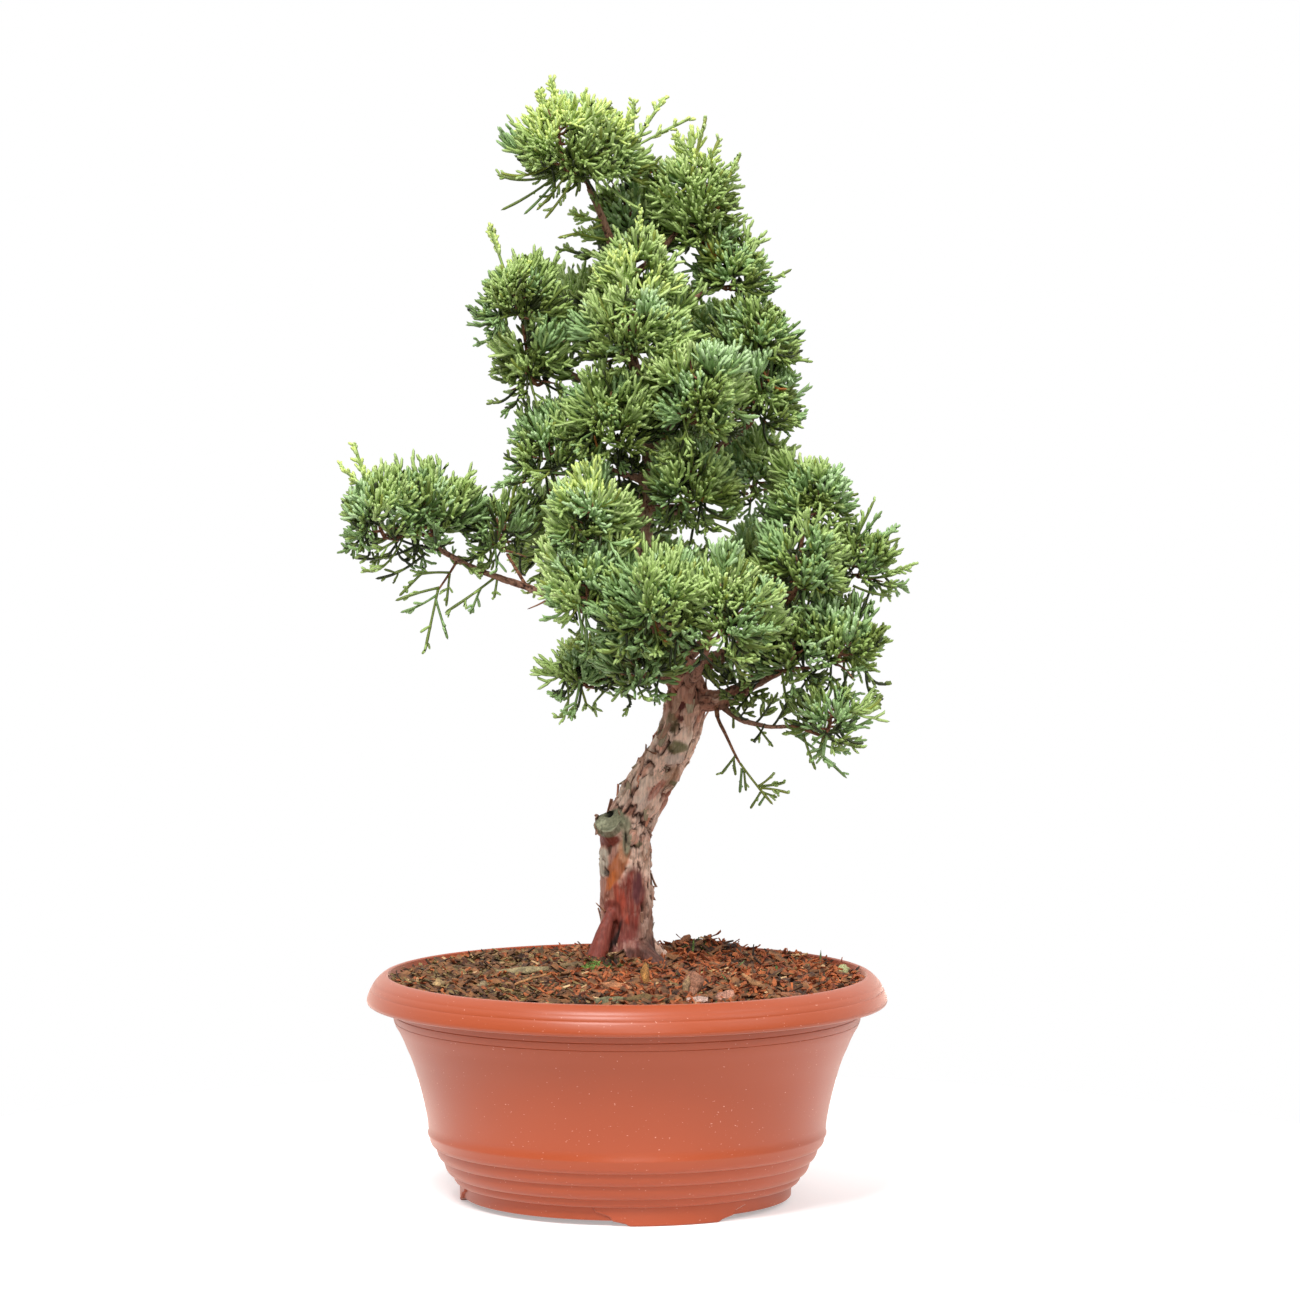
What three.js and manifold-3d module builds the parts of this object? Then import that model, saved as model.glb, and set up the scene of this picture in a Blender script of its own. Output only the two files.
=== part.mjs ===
// A Chinese juniper trained as a bonsai, standing in a round terracotta-coloured plastic pot.
// Millimetres, Z up. The origin is the middle of the pot's foot, on the surface that it stands on.
// The view of the photograph looks along +Y, with +X to the right.
import * as THREE from "three";
import { mergeVertices } from "three/addons/utils/BufferGeometryUtils.js";
import Module from "manifold-3d";

const wasm = await Module();
wasm.setup();

// Driving sizes
const GAP = 0.3; // clearance between two pieces that meet
const RIM_R = 125; // half of the pot's 250 mm
const RIM_Z = 109.6; // crest of the rim
const SOIL_Z = 109.5; // flat middle of the soil, the level that the trunk is cut at
const FOOT_Y = 34; // the trunk stands behind the pot's middle
const POT_SIDES = 28; // flat facets round the pot and the soil

// Plain colours of the real materials, with how each takes the light
const finish = (color, roughness) => new THREE.MeshStandardMaterial({ color, roughness, metalness: 0 });
const PLASTIC = finish(0xc0644a, 0.5);
const SOIL = finish(0x6b432c, 1.0);
const BARK = finish(0x8a5a46, 0.85);
const BOUGH_BARK = finish(0x7d4a36, 0.85);
const FOLIAGE = finish(0x6e8f4a, 0.6);

const plant = new THREE.Group();
plant.name = "chinese_juniper_bonsai";

const up = new THREE.Vector3(0, 0, 1);
const vec = (p) => new THREE.Vector3(p[0], p[1], p[2]);

// A closed geometry as a solid that can be joined and cut. Triangles that have no width, as where a lathe
// meets its axis, are left out.
function solid(geometry) {
  const bare = new THREE.BufferGeometry().setAttribute("position", geometry.getAttribute("position"));
  if (geometry.index) bare.setIndex(geometry.index);
  const merged = mergeVertices(bare, 1e-4);
  const triVerts = [];
  for (let i = 0; i < merged.index.count; i += 3) {
    const [a, b, c] = [merged.index.getX(i), merged.index.getX(i + 1), merged.index.getX(i + 2)];
    if (a !== b && b !== c && c !== a) triVerts.push(a, b, c);
  }
  const mesh = new wasm.Mesh({
    numProp: 3,
    vertProperties: new Float32Array(merged.attributes.position.array),
    triVerts: new Uint32Array(triVerts),
  });
  return new wasm.Manifold(mesh);
}

function geometryOf(body) {
  const mesh = body.getMesh();
  const geometry = new THREE.BufferGeometry();
  geometry.setAttribute("position", new THREE.BufferAttribute(mesh.vertProperties, 3));
  geometry.setIndex(new THREE.BufferAttribute(mesh.triVerts, 1));
  return geometry;
}

// The largest body of a solid: a scrap that a cut leaves loose is dropped
function largest(body) {
  return body.decompose().sort((a, b) => b.volume() - a.volume())[0];
}

function addNode(name, body, material) {
  const mesh = new THREE.Mesh(geometryOf(largest(body)), material);
  mesh.name = name;
  plant.add(mesh);
}

// The same row of numbers for a seed each time
function seeded(seed) {
  let state = seed;
  return () => {
    state = (state + 0x6d2b79f5) | 0;
    let t = Math.imul(state ^ (state >>> 15), 1 | state);
    t = (t + Math.imul(t ^ (t >>> 7), 61 | t)) ^ t;
    return ((t ^ (t >>> 14)) >>> 0) / 4294967296;
  };
}

// The pot: one moulding turned about its axis, with three feet

const FLOOR = 8.4; // the pot's floor inside
const WALL = 2.2;
const FIRST_FOOT = THREE.MathUtils.degToRad(17); // from the front towards the right

// The wall's outside from the base up, as [radius, height]
const OUTER_WALL = [
  [95, 30],
  [95.9, 33],
  [97.6, 48],
  [101.2, 66],
  [105.6, 78],
];

function lathe(points) {
  const profile = points.map(([r, z]) => new THREE.Vector2(r, z));
  const turned = new THREE.LatheGeometry([...profile, profile[0].clone()], POT_SIDES);
  turned.rotateX(Math.PI / 2);
  return solid(turned);
}

function potShell() {
  const base = [
    [0, 6],
    [75.2, 6],
    [75.6, 2.6],
    [78.8, 2.6],
    [79.3, 9.1],
    [81.3, 9.1],
  ];
  // Three rounded ledges step out from the base to the wall
  const ledges = [
    [83.8, 13.1],
    [88, 20.1],
    [91.7, 26.5],
  ].flatMap(([r, z]) => [
    [r - 0.7, z - 2.2],
    [r, z],
  ]);
  const lip = [
    [112.6, 88],
    [113.6, 104],
    [118.6, 105.2],
    [122.6, 95.8],
    [RIM_R - 0.5, 95.6],
    [RIM_R, 97.4],
    [123.6, 101.8],
    [121.2, 105.8],
    [118.4, 108.5],
    [116.2, RIM_Z],
    [114.9, RIM_Z - 0.6],
  ];
  const inside = [[110.4, 88], ...OUTER_WALL.slice(1).reverse().map(([r, z]) => [r - WALL, z - 1])];
  return lathe([...base, ...ledges, ...OUTER_WALL, ...lip, ...inside, [81.6, 14], [77, FLOOR], [0, FLOOR]]);
}

// The feet are a ring under the base, with three wide gaps cut through it
function feetSolid() {
  const outer = 80.5;
  const inner = 74.7;
  const ring = lathe([
    [inner, 0],
    [outer, 0],
    [outer, 9.8],
    [inner, FLOOR - 1.2],
  ]);
  // A gap's flank rises in two steps, and the other side mirrors it
  const flank = [
    [56, -1],
    [51.5, 1],
    [47, 4.2],
    [40, 9.4],
  ];
  const mirrored = flank.map(([x, z]) => [-x, z]).reverse();
  const corners = [...flank, ...mirrored].map(([x, z]) => new THREE.Vector2(x, z));
  let feet = ring;
  for (let i = 0; i < 3; i += 1) {
    const gap = new THREE.ExtrudeGeometry(new THREE.Shape(corners), { depth: RIM_R, bevelEnabled: false });
    gap.rotateX(Math.PI / 2);
    gap.rotateZ(FIRST_FOOT + Math.PI / 3 + (i * 2 * Math.PI) / 3);
    feet = feet.subtract(solid(gap));
  }
  return feet;
}

const DRAIN_HOLES = 4;
const DRAIN_R = 4;
const DRAIN_FROM_AXIS = 52;
const FIRST_DRAIN = 0.4; // radians from the front towards the right
function drainHole(azimuth) {
  const hole = new THREE.CylinderGeometry(DRAIN_R, DRAIN_R, 12, 6);
  hole.rotateX(Math.PI / 2);
  hole.translate(DRAIN_FROM_AXIS * Math.sin(azimuth), -DRAIN_FROM_AXIS * Math.cos(azimuth), 6);
  return solid(hole);
}

let pot = potShell().add(feetSolid());
for (let i = 0; i < DRAIN_HOLES; i += 1) {
  pot = pot.subtract(drainHole(FIRST_DRAIN + (i * 2 * Math.PI) / DRAIN_HOLES));
}
addNode("pot", pot, PLASTIC);

// The soil fills the pot, flat in the middle and a little lower at the rim

const SLACK = 0.4; // the soil's profile keeps this far inside the wall's, which leaves the gap
const soilSides = OUTER_WALL.slice(1).map(([r, z]) => [r - WALL - SLACK, z - 0.8]);
const soilTop = [
  [109.8, 88.2],
  [113.1, 104.2],
  [108, 106],
  [84, SOIL_Z],
  [0, SOIL_Z],
];
const fill = lathe([[0, FLOOR + GAP], [76.7, FLOOR + GAP], [81.2, 14.1], ...soilSides, ...soilTop]);

// A heap of bark mulch, lumpy and half sunk in the soil, with its half width, half depth and height
function heapSolid({ x, y, width, depth, height }) {
  const random = seeded(5);
  const heap = new THREE.IcosahedronGeometry(1, 1);
  const bare = new THREE.BufferGeometry().setAttribute("position", heap.getAttribute("position"));
  const merged = mergeVertices(bare, 1e-4);
  const p = merged.getAttribute("position");
  for (let i = 0; i < p.count; i += 1) {
    const lump = 0.86 + 0.28 * random();
    const [px, py, pz] = [p.getX(i) * width, p.getY(i) * depth, p.getZ(i) * height];
    p.setXYZ(i, x + px * lump, y + py * lump, SOIL_Z - 1 + pz * lump);
  }
  return solid(merged);
}

const HEAP = { x: 34, y: 62, width: 22, depth: 15, height: 8 };
addNode("soil", fill.add(heapSolid(HEAP)), SOIL);

// Limbs: a tapering tube along a smooth curve

// A route is a list of [x, y, z, radius]. The curve runs through its points, and the radius follows.
class Limb {
  constructor(route, sides, rings) {
    this.curve = new THREE.CatmullRomCurve3(route.map(vec), false, "centripetal");
    this.sides = sides;
    this.rings = rings;
    this.samples = [];
    for (let i = 0; i <= rings; i += 1) {
      const t = i / rings;
      const part = t * (route.length - 1);
      const k = Math.min(Math.floor(part), route.length - 2);
      const radius = THREE.MathUtils.lerp(route[k][3], route[k + 1][3], part - k);
      this.samples.push({ point: this.curve.getPoint(t), tangent: this.curve.getTangent(t), radius });
    }
    this.carryFrames();
  }

  // Each ring's frame is the last one turned as little as the curve asks
  carryFrames() {
    const startsAlongX = Math.abs(this.samples[0].tangent.x) > 0.9;
    let side = startsAlongX ? new THREE.Vector3(0, 1, 0) : new THREE.Vector3(1, 0, 0);
    for (const s of this.samples) {
      side = side.clone().addScaledVector(s.tangent, -side.dot(s.tangent)).normalize();
      s.side = side;
      s.across = new THREE.Vector3().crossVectors(s.tangent, side);
    }
  }

  end() {
    return this.samples[this.rings];
  }

  // swell(angle, sample) may make the section other than round, and grow widens all of it
  body(grow = 0, swell = () => 1) {
    const tube = new THREE.CylinderGeometry(1, 1, 1, this.sides, this.rings);
    const p = tube.getAttribute("position");
    for (let i = 0; i < p.count; i += 1) {
      const s = this.samples[Math.round((p.getY(i) + 0.5) * this.rings)];
      const angle = Math.atan2(p.getZ(i), p.getX(i));
      const reach = Math.hypot(p.getX(i), p.getZ(i)) * (s.radius * swell(angle, s) + grow);
      const q = s.point.clone();
      q.addScaledVector(s.side, reach * Math.cos(angle)).addScaledVector(s.across, -reach * Math.sin(angle));
      p.setXYZ(i, q.x, q.y, q.z);
    }
    return solid(tube);
  }

  // The shortest way from a point to the limb's surface, sample by sample
  clearance(point) {
    let least = Infinity;
    for (let i = 0; i < this.rings; i += 1) {
      const a = this.samples[i];
      const b = this.samples[i + 1];
      const edge = new THREE.Line3(a.point, b.point);
      const near = edge.closestPointToPoint(point, true, new THREE.Vector3());
      least = Math.min(least, near.distanceTo(point) - Math.max(a.radius, b.radius));
    }
    return least;
  }
}

// The trunk: upright to the sawn knob, over to the right, then up through the crown

const trunk = new Limb(
  [
    [0.5, FOOT_Y, SOIL_Z - 8, 15],
    [-0.4, FOOT_Y, 126, 12.8],
    [-0.6, FOOT_Y - 1, 152, 12.4],
    [-0.2, FOOT_Y - 2, 175, 12.6],
    [8, 29, 193, 11.2],
    [18.5, 25, 210, 10],
    [26.5, 22, 227, 9.4],
    [28.6, 19, 243, 9.6],
    [22, 16, 266, 6.6],
    [8, 13, 308, 4.7],
    [9.5, 12, 340, 4],
    [11, 12, 372, 3.4],
    [2, 10, 406, 2.8],
    [-2, 10, 436, 2.5],
    [-8, 9, 461, 2.1],
    [-18, 5, 486, 1.5],
  ],
  10,
  34,
);

// Roots spread at the foot: each is a lobe that fades out up the trunk. The angle is from +X towards +Y.
const FLARE_HEIGHT = 11;
const ROOTS = [
  { toward: -152, spread: 0.95 },
  { toward: -28, spread: 0.85 },
  { toward: 52, spread: 0.5 },
  { toward: 128, spread: 0.55 },
];
const flare = (angle, s) => {
  const height = Math.max(0, s.point.z - SOIL_Z);
  const fade = Math.exp(-height / FLARE_HEIGHT);
  const lobes = ROOTS.reduce((sum, root) => {
    const turn = Math.cos(-angle - THREE.MathUtils.degToRad(root.toward));
    return sum + root.spread * Math.max(0, turn) ** 4;
  }, 0);
  const flutes = 1 + 0.05 * Math.sin(5 * angle + s.point.z / 30);
  return flutes + fade * lobes;
};

// The knob is the short stub of a leader that was sawn off where the trunk turns
const knob = new Limb(
  [
    [-3, FOOT_Y - 4, 170, 8],
    [-7.5, FOOT_Y - 7, 180, 7.2],
    [-9.5, FOOT_Y - 8, 185.5, 6.6],
  ],
  9,
  3,
);
const belowGround = new THREE.BoxGeometry(120, 120, 40);
belowGround.translate(0, FOOT_Y, SOIL_Z + GAP - 20);
addNode("trunk", trunk.body(0, flare).add(knob.body()).subtract(solid(belowGround)), BARK);

// The trunk with its clearance, which limbs and stems are cut by
const trunkRoom = trunk.body(GAP, flare).add(knob.body(GAP));

function trunkAt(height) {
  return trunk.samples.reduce((best, s) =>
    Math.abs(s.point.z - height) < Math.abs(best.point.z - height) ? s : best,
  );
}

// Boughs: each starts in the trunk and is cut clear of it

// A bough leaves the trunk at a height and rises or sags on its way to its tip
function boughRoute({ height, tip, sag = 0, thick, thin = 1.3, via = [] }) {
  const start = trunkAt(height).point;
  const end = vec(tip);
  if (via.length) return [[...start.toArray(), thick], ...via, [...tip, thin]];
  const middle = start.clone().lerp(end, 0.5);
  middle.z -= sag;
  return [
    [...start.toArray(), thick],
    [...middle.toArray(), (thick + thin) / 2],
    [...tip, thin],
  ];
}

const BOUGHS = {
  left: {
    height: 262,
    thick: 3.6,
    via: [
      [-13, 8, 281, 2.5],
      [-45, 3, 294, 1.9],
      [-72, 0, 304, 1.6],
    ],
    tip: [-94, -4, 316],
    thin: 1.3,
  },
  front_left: {
    height: 252,
    thick: 4,
    via: [
      [6, -2, 262, 3],
      [-3, -18, 279, 2.4],
    ],
    tip: [-10, -30, 291],
    thin: 1.7,
  },
  front_centre: { height: 264, thick: 3.4, sag: -4, tip: [14, -34, 276], thin: 1.7 },
  front_right: { height: 246, thick: 3.4, sag: 2, tip: [38, -28, 268], thin: 1.7 },
  low_left: { height: 249, thick: 2.6, sag: 1, tip: [2, 2, 255], thin: 1.4 },
  right_upper: {
    height: 252,
    thick: 4.6,
    via: [
      [50, 10, 264, 3.3],
      [62, 2, 273, 2.8],
    ],
    tip: [73, -8, 286],
    thin: 2,
  },
  right_lower: {
    height: 240,
    thick: 5.6,
    via: [
      [45, 14, 240, 4.8],
      [57, 8, 247, 4],
    ],
    tip: [68, -4, 253],
    thin: 2.4,
  },
  mid_left: { height: 346, thick: 2.4, sag: 1, tip: [-14, 2, 354] },
  mid_right: { height: 330, thick: 2.6, sag: 3, tip: [42, 30, 338] },
  upper_left: { height: 384, thick: 2.8, sag: 2, tip: [-30, -1, 399] },
  right_shoulder: { height: 338, thick: 3, sag: 1, tip: [52, 6, 368], thin: 1.6 },
  centre_right: { height: 362, thick: 2.2, sag: 1, tip: [24, -20, 376] },
  upper_right: { height: 408, thick: 2.2, sag: 2, tip: [38, 13, 438] },
  apex_right: { height: 440, thick: 2, sag: 2, tip: [27, 15, 468] },
  back_low: { height: 264, thick: 3.2, sag: -2, tip: [14, 46, 282], thin: 1.6 },
  back_low_right: { height: 256, thick: 3, sag: 0, tip: [52, 44, 284], thin: 1.6 },
  back_low_left: { height: 286, thick: 2.8, sag: 0, tip: [-22, 36, 304], thin: 1.5 },
  back_middle: { height: 350, thick: 2.4, sag: 0, tip: [18, 40, 366] },
  back_upper: { height: 402, thick: 2.2, sag: 0, tip: [-12, 34, 408] },
};

const BOUGH_SIDES = 5;
const limbs = { trunk };
for (const [name, size] of Object.entries(BOUGHS)) {
  limbs[name] = new Limb(boughRoute(size), BOUGH_SIDES, size.via ? 7 : 3);
}
// The low right bough is a thin one that leaves the thick limb near the trunk
limbs.lower_right = new Limb(
  [
    [44, 12, 239, 1.8],
    [52, 6, 232.5, 1.6],
    [66, -4, 229, 1.3],
    [78, -12, 229.5, 1.1],
  ],
  BOUGH_SIDES,
  5,
);
for (const [name, limb] of Object.entries(limbs)) {
  if (name === "trunk") continue;
  const carrier = name === "lower_right" ? limbs.right_lower.body(GAP) : trunkRoom;
  addNode(`bough_${name}`, limb.body().subtract(carrier), BOUGH_BARK);
}

// Masses of foliage: each grows from one stem and keeps to the space of its own lobes

// A lobe is [x, y, z, radius]. The stem runs through the lobes from the tip of a bough or from the trunk.
const MASSES = {
  apex_left: { from: "trunk", lobes: [[-32, -4, 508, 28], [-3, 3, 505, 24]] },
  apex_right: { from: "apex_right", lobes: [[38, 16, 468, 17], [37, 18, 490, 22]] },
  upper_left: { from: "upper_left", lobes: [[-44, -5, 402, 24], [-53, -9, 436, 24]] },
  upper_centre: { at: 418, lobes: [[4, -26, 419, 27], [5, -8, 449, 23]] },
  centre_right: { from: "centre_right", lobes: [[32, -36, 388, 26]] },
  centre_left: { at: 374, lobes: [[-6, -26, 378, 23]] },
  upper_right: { from: "upper_right", lobes: [[53, 14, 449, 22]] },
  right_shoulder: { from: "right_shoulder", lobes: [[65, 10, 386, 26], [69, 6, 417, 23]] },
  mid_left: { from: "mid_left", lobes: [[-33, -5, 361, 24]] },
  mid_centre: { at: 333, lobes: [[29, -24, 346, 21]] },
  mid_right: { from: "mid_right", lobes: [[60, 36, 349, 22]] },
  left_tip: { from: "left", lobes: [[-92, -4, 332, 23], [-115, -8, 330, 22]] },
  left_inner: { branch: "left", along: 0.52, lobes: [[-58, 4, 322, 20]] },
  left_hanging: { branch: "left", along: 0.74, lobes: [[-88, -10, 293, 17]] },
  front_left: { from: "front_left", lobes: [[-17, -43, 298, 23], [-18, -40, 329, 23]] },
  front_centre: { from: "front_centre", lobes: [[13, -58, 292, 27]] },
  front_low: { branch: "front_centre", along: 0.6, lobes: [[6, -40, 264, 20]] },
  front_right: { from: "front_right", lobes: [[43, -50, 288, 27]] },
  low_left: { from: "low_left", lobes: [[-19, -4, 257, 19]] },
  right_upper: { from: "right_upper", lobes: [[80, -20, 306, 23], [90, 0, 337, 24], [114, 4, 309, 22]] },
  right_lower: { from: "right_lower", lobes: [[76, -16, 266, 19], [99, -14, 270, 22]] },
  lower_right: { from: "lower_right", lobes: [[94, -18, 234, 18]] },
  hanging_twig: { branch: "right_lower", along: 0.28, lobes: [[63, -2, 204, 13]] },
  back_low: { from: "back_low", lobes: [[12, 68, 292, 26]] },
  back_low_right: { from: "back_low_right", lobes: [[64, 58, 300, 24]] },
  back_low_left: { from: "back_low_left", lobes: [[-34, 50, 318, 25]] },
  back_middle: { from: "back_middle", lobes: [[20, 60, 378, 26]] },
  back_upper: { from: "back_upper", lobes: [[-22, 46, 424, 25]] },
  back_high: { at: 412, lobes: [[38, 48, 412, 22]] },
  back_top: { at: 458, lobes: [[2, 32, 470, 21]] },
};

const STEM_R = 1.5; // where a stem leaves the trunk
const TWIG_R = 1.1; // where a twig leaves its stem
const TWIG_SIDES = 3;

const cells = [];
for (const [mass, { lobes }] of Object.entries(MASSES)) {
  for (const [x, y, z, r] of lobes) cells.push({ mass, centre: new THREE.Vector3(x, y, z), r });
}

// How far a point is inside the flat walls between its lobe and the lobes of other masses
function roomInCell(point, cell) {
  let least = Infinity;
  for (const other of cells) {
    if (other.mass === cell.mass) continue;
    const mine = point.distanceToSquared(cell.centre) - cell.r * cell.r;
    const theirs = point.distanceToSquared(other.centre) - other.r * other.r;
    least = Math.min(least, (theirs - mine) / (2 * cell.centre.distanceTo(other.centre)));
  }
  return least;
}

// A stem's route: on from where the bough ends, or out of the trunk or a bough, and through the lobes
function stemRoute({ from, at, branch, along, lobes }) {
  let start;
  if (from) {
    const end = limbs[from].end();
    const first = end.point.clone().addScaledVector(end.tangent, GAP);
    start = [
      [...first.toArray(), end.radius],
      [...first.clone().addScaledVector(end.tangent, 3).toArray(), end.radius * 0.95],
    ];
  } else {
    const limb = branch ? limbs[branch] : trunk;
    const s = branch ? limb.samples[Math.round(along * limb.rings)] : trunkAt(at);
    start = [[...s.point.toArray(), STEM_R]];
  }
  const through = lobes.map(([x, y, z], i) => [x, y, z, TWIG_R - 0.2 * i]);
  return [...start, ...through];
}

const stems = {};
for (const [name, mass] of Object.entries(MASSES)) {
  stems[name] = new Limb(stemRoute(mass), TWIG_SIDES, 2 + 2 * mass.lobes.length);
}

// Whether a line of that half width comes within the gap of a limb or of another mass's stem
function touchesLimb(from, to, halfWidth, own) {
  for (const part of [0, 0.25, 0.5, 0.75, 1]) {
    const point = from.clone().lerp(to, part);
    for (const limb of Object.values(limbs)) if (limb.clearance(point) < halfWidth + GAP) return true;
    for (const [name, stem] of Object.entries(stems)) {
      if (name !== own && stem.clearance(point) < halfWidth + GAP) return true;
    }
  }
  return false;
}

// The turn that takes a geometry's own +Y to a direction
const turnTo = (direction) => {
  return new THREE.Quaternion().setFromUnitVectors(new THREE.Vector3(0, 1, 0), direction);
};

// Half of a spray's outline from its root to its tip, as [share of its width, share of its length]
const SHORT_TEETH = [
  [0.5, 0.6],
  [0.19, 0.54],
];
const LONG_TEETH = [
  [0.42, 0.36],
  [0.2, 0.34],
  [0.5, 0.74],
  [0.16, 0.64],
];
const SPRAY_WIDTH = 0.98; // of its length
const SPRAY_THICK = 0.24;
const SPRAY_RIDGE = 0.32; // how far along it is thickest

// A spray of shoots is a toothed blade, thick along its middle and thin at its edge. It is rooted at its
// start.
function sprayBody(start, direction, side, length, teeth) {
  const outline = [[0, 0], ...teeth, [0, 1], ...[...teeth].reverse().map(([w, l]) => [-w, l])];
  const blade = new THREE.CylinderGeometry(1, 1, 1, outline.length, 2);
  const p = blade.getAttribute("position");
  for (let i = 0; i < p.count; i += 1) {
    const y = p.getY(i);
    const turn = (Math.atan2(p.getX(i), p.getZ(i)) / (2 * Math.PI)) * outline.length;
    const [across, along] = outline[(Math.round(turn) + outline.length) % outline.length];
    if (Math.abs(y) < 0.1) p.setXYZ(i, across * SPRAY_WIDTH * length, along * length, 0);
    else p.setXYZ(i, 0, SPRAY_RIDGE * length, y * SPRAY_THICK * length);
  }
  const normal = new THREE.Vector3().crossVectors(side, direction);
  blade.applyMatrix4(new THREE.Matrix4().makeBasis(side, direction, normal));
  blade.translate(start.x, start.y, start.z);
  return solid(blade);
}

function twigBody(start, end, radius) {
  const length = start.distanceTo(end);
  const twig = new THREE.CylinderGeometry(radius * 0.7, radius, length, TWIG_SIDES);
  twig.translate(0, length / 2, 0);
  twig.applyQuaternion(turnTo(end.clone().sub(start).normalize()));
  twig.translate(start.x, start.y, start.z);
  return solid(twig);
}

// A fan of directions: one straight out, a ring that leans off it, and a ring that leans back
const RINGS = [
  { count: 4, lean: 60, shift: 0 },
  { count: 2, lean: 108, shift: 0.5 },
];
function fan(outward, random) {
  const around = new THREE.Vector3(-outward.y, outward.x, 0.01).normalize();
  const phase = random() * Math.PI * 2;
  const list = [outward.clone()];
  for (const { count, lean, shift } of RINGS) {
    for (let i = 0; i < count; i += 1) {
      const turn = phase + ((i + shift) * 2 * Math.PI) / count + 0.3 * (random() - 0.5);
      const off = THREE.MathUtils.degToRad(lean + 14 * (random() - 0.5));
      list.push(outward.clone().applyAxisAngle(around, off).applyAxisAngle(outward, turn));
    }
  }
  return list;
}

// Shares of a lobe's radius
const CORE = 0.54;
const SMALLEST_CORE = 0.24;
const TWIG_END = 0.42;
const TWIG_REACH = 1.12; // how far out the spray on a twig ends
const CORE_REACH = 1.06; // and one that roots in the core

const ROOTED = 0.62; // of the core's radius: how deep in it a spray starts
const SHORTENED = [1, 0.78, 0.6]; // what a spray is tried at where it lacks room
const CROWN_MIDDLE = vec([5, 8, 340]); // the sprays lean away from it

// How large the dense inside of a lobe may be, clear of other spaces and of the limbs
function coreSize(name, cell) {
  let size = Math.min(cell.r * CORE, roomInCell(cell.centre, cell) - GAP);
  for (const limb of Object.values(limbs)) size = Math.min(size, limb.clearance(cell.centre) - GAP);
  for (const [other, stem] of Object.entries(stems)) {
    if (other !== name) size = Math.min(size, stem.clearance(cell.centre) - GAP);
  }
  return size < cell.r * SMALLEST_CORE ? 0 : size;
}

// A spray goes in where it fits, whole or shortened
function placeSpray(name, cell, root, direction, side, length, teeth) {
  for (const share of SHORTENED) {
    const long = length * share;
    const half = long * SPRAY_WIDTH * 0.5;
    const end = root.clone().addScaledVector(direction, long);
    const flank = root.clone().addScaledVector(direction, long * 0.66);
    const flanks = [-half, half].map((reach) => flank.clone().addScaledVector(side, reach));
    if ([end, ...flanks].some((point) => roomInCell(point, cell) < GAP)) continue;
    if (touchesLimb(root, end, long * SPRAY_THICK * 0.5, name)) continue;
    if (touchesLimb(flanks[0], flanks[1], 1, name)) continue;
    return [sprayBody(root, direction, side, long, teeth)];
  }
  return [];
}

// Sprays fan out all round a lobe. One in three ends a twig, and the others root in the core.
function growLobe(name, cell, stem, random) {
  const size = coreSize(name, cell);
  const bodies = [];
  if (size) {
    const core = new THREE.IcosahedronGeometry(size, 0);
    core.rotateX(random() * Math.PI);
    core.rotateZ(random() * Math.PI);
    core.translate(cell.centre.x, cell.centre.y, cell.centre.z);
    bodies.push(solid(core));
  }
  const sisters = cells.filter((c) => c.mass === name && c !== cell);
  const outward = cell.centre.clone().sub(CROWN_MIDDLE).normalize();
  fan(outward, random).forEach((out, i) => {
    const onTwig = !size || i % 3 === 0;
    const reach = cell.r * (onTwig ? TWIG_REACH : CORE_REACH) * (0.96 + 0.08 * random());
    const side = new THREE.Vector3().crossVectors(out, Math.abs(out.z) > 0.9 ? vec([1, 0, 0]) : up);
    side.normalize().applyAxisAngle(out, random() * Math.PI);
    const at = (distance) => cell.centre.clone().addScaledVector(out, distance);
    const inSister = sisters.some((other) => at(cell.r * 0.8).distanceTo(other.centre) < other.r * 0.8);
    if (inSister) return;
    if (!onTwig) {
      const base = size * ROOTED;
      bodies.push(...placeSpray(name, cell, at(base), out, side, reach - base, SHORT_TEETH));
      return;
    }
    const aim = at(cell.r * 0.1);
    const root = stem.samples.reduce((best, s) =>
      s.point.distanceTo(aim) < best.point.distanceTo(aim) ? s : best,
    ).point;
    const base = cell.r * TWIG_END;
    if (roomInCell(at(base), cell) < TWIG_R + GAP) return;
    if (touchesLimb(root.clone().lerp(at(base), 0.4), at(base), TWIG_R, name)) return;
    const spray = placeSpray(name, cell, at(base), out, side, reach - base, LONG_TEETH);
    const end = spray.length ? at(base + (reach - base) * SPRAY_RIDGE) : at(base);
    bodies.push(twigBody(root, end, TWIG_R), ...spray);
  });
  return bodies;
}

// Each mass has a seed of its own
const SEED_STEP = 17;
let seed = 11;
for (const [name, mass] of Object.entries(MASSES)) {
  const random = seeded(seed);
  seed += SEED_STEP;
  const stem = stems[name];
  const bodies = [stem.body()];
  for (const cell of cells.filter((c) => c.mass === name)) bodies.push(...growLobe(name, cell, stem, random));
  let body = wasm.Manifold.union(bodies);
  if (!mass.from) body = body.subtract(mass.branch ? limbs[mass.branch].body(GAP) : trunkRoom);
  addNode(`foliage_${name}`, body, FOLIAGE);
}

export default plant;
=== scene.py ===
# A Chinese juniper trained as a bonsai, growing in a round moulded bowl that is filled with bark mulch.
# Metres, Z up. The origin is the middle of the bowl's foot, the photograph looks along +Y, and +X is to its
# right. Sizes are written in millimetres and turned to metres by MM.
import itertools
import math

import bmesh
import bpy
import numpy as np
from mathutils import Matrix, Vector, noise


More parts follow.
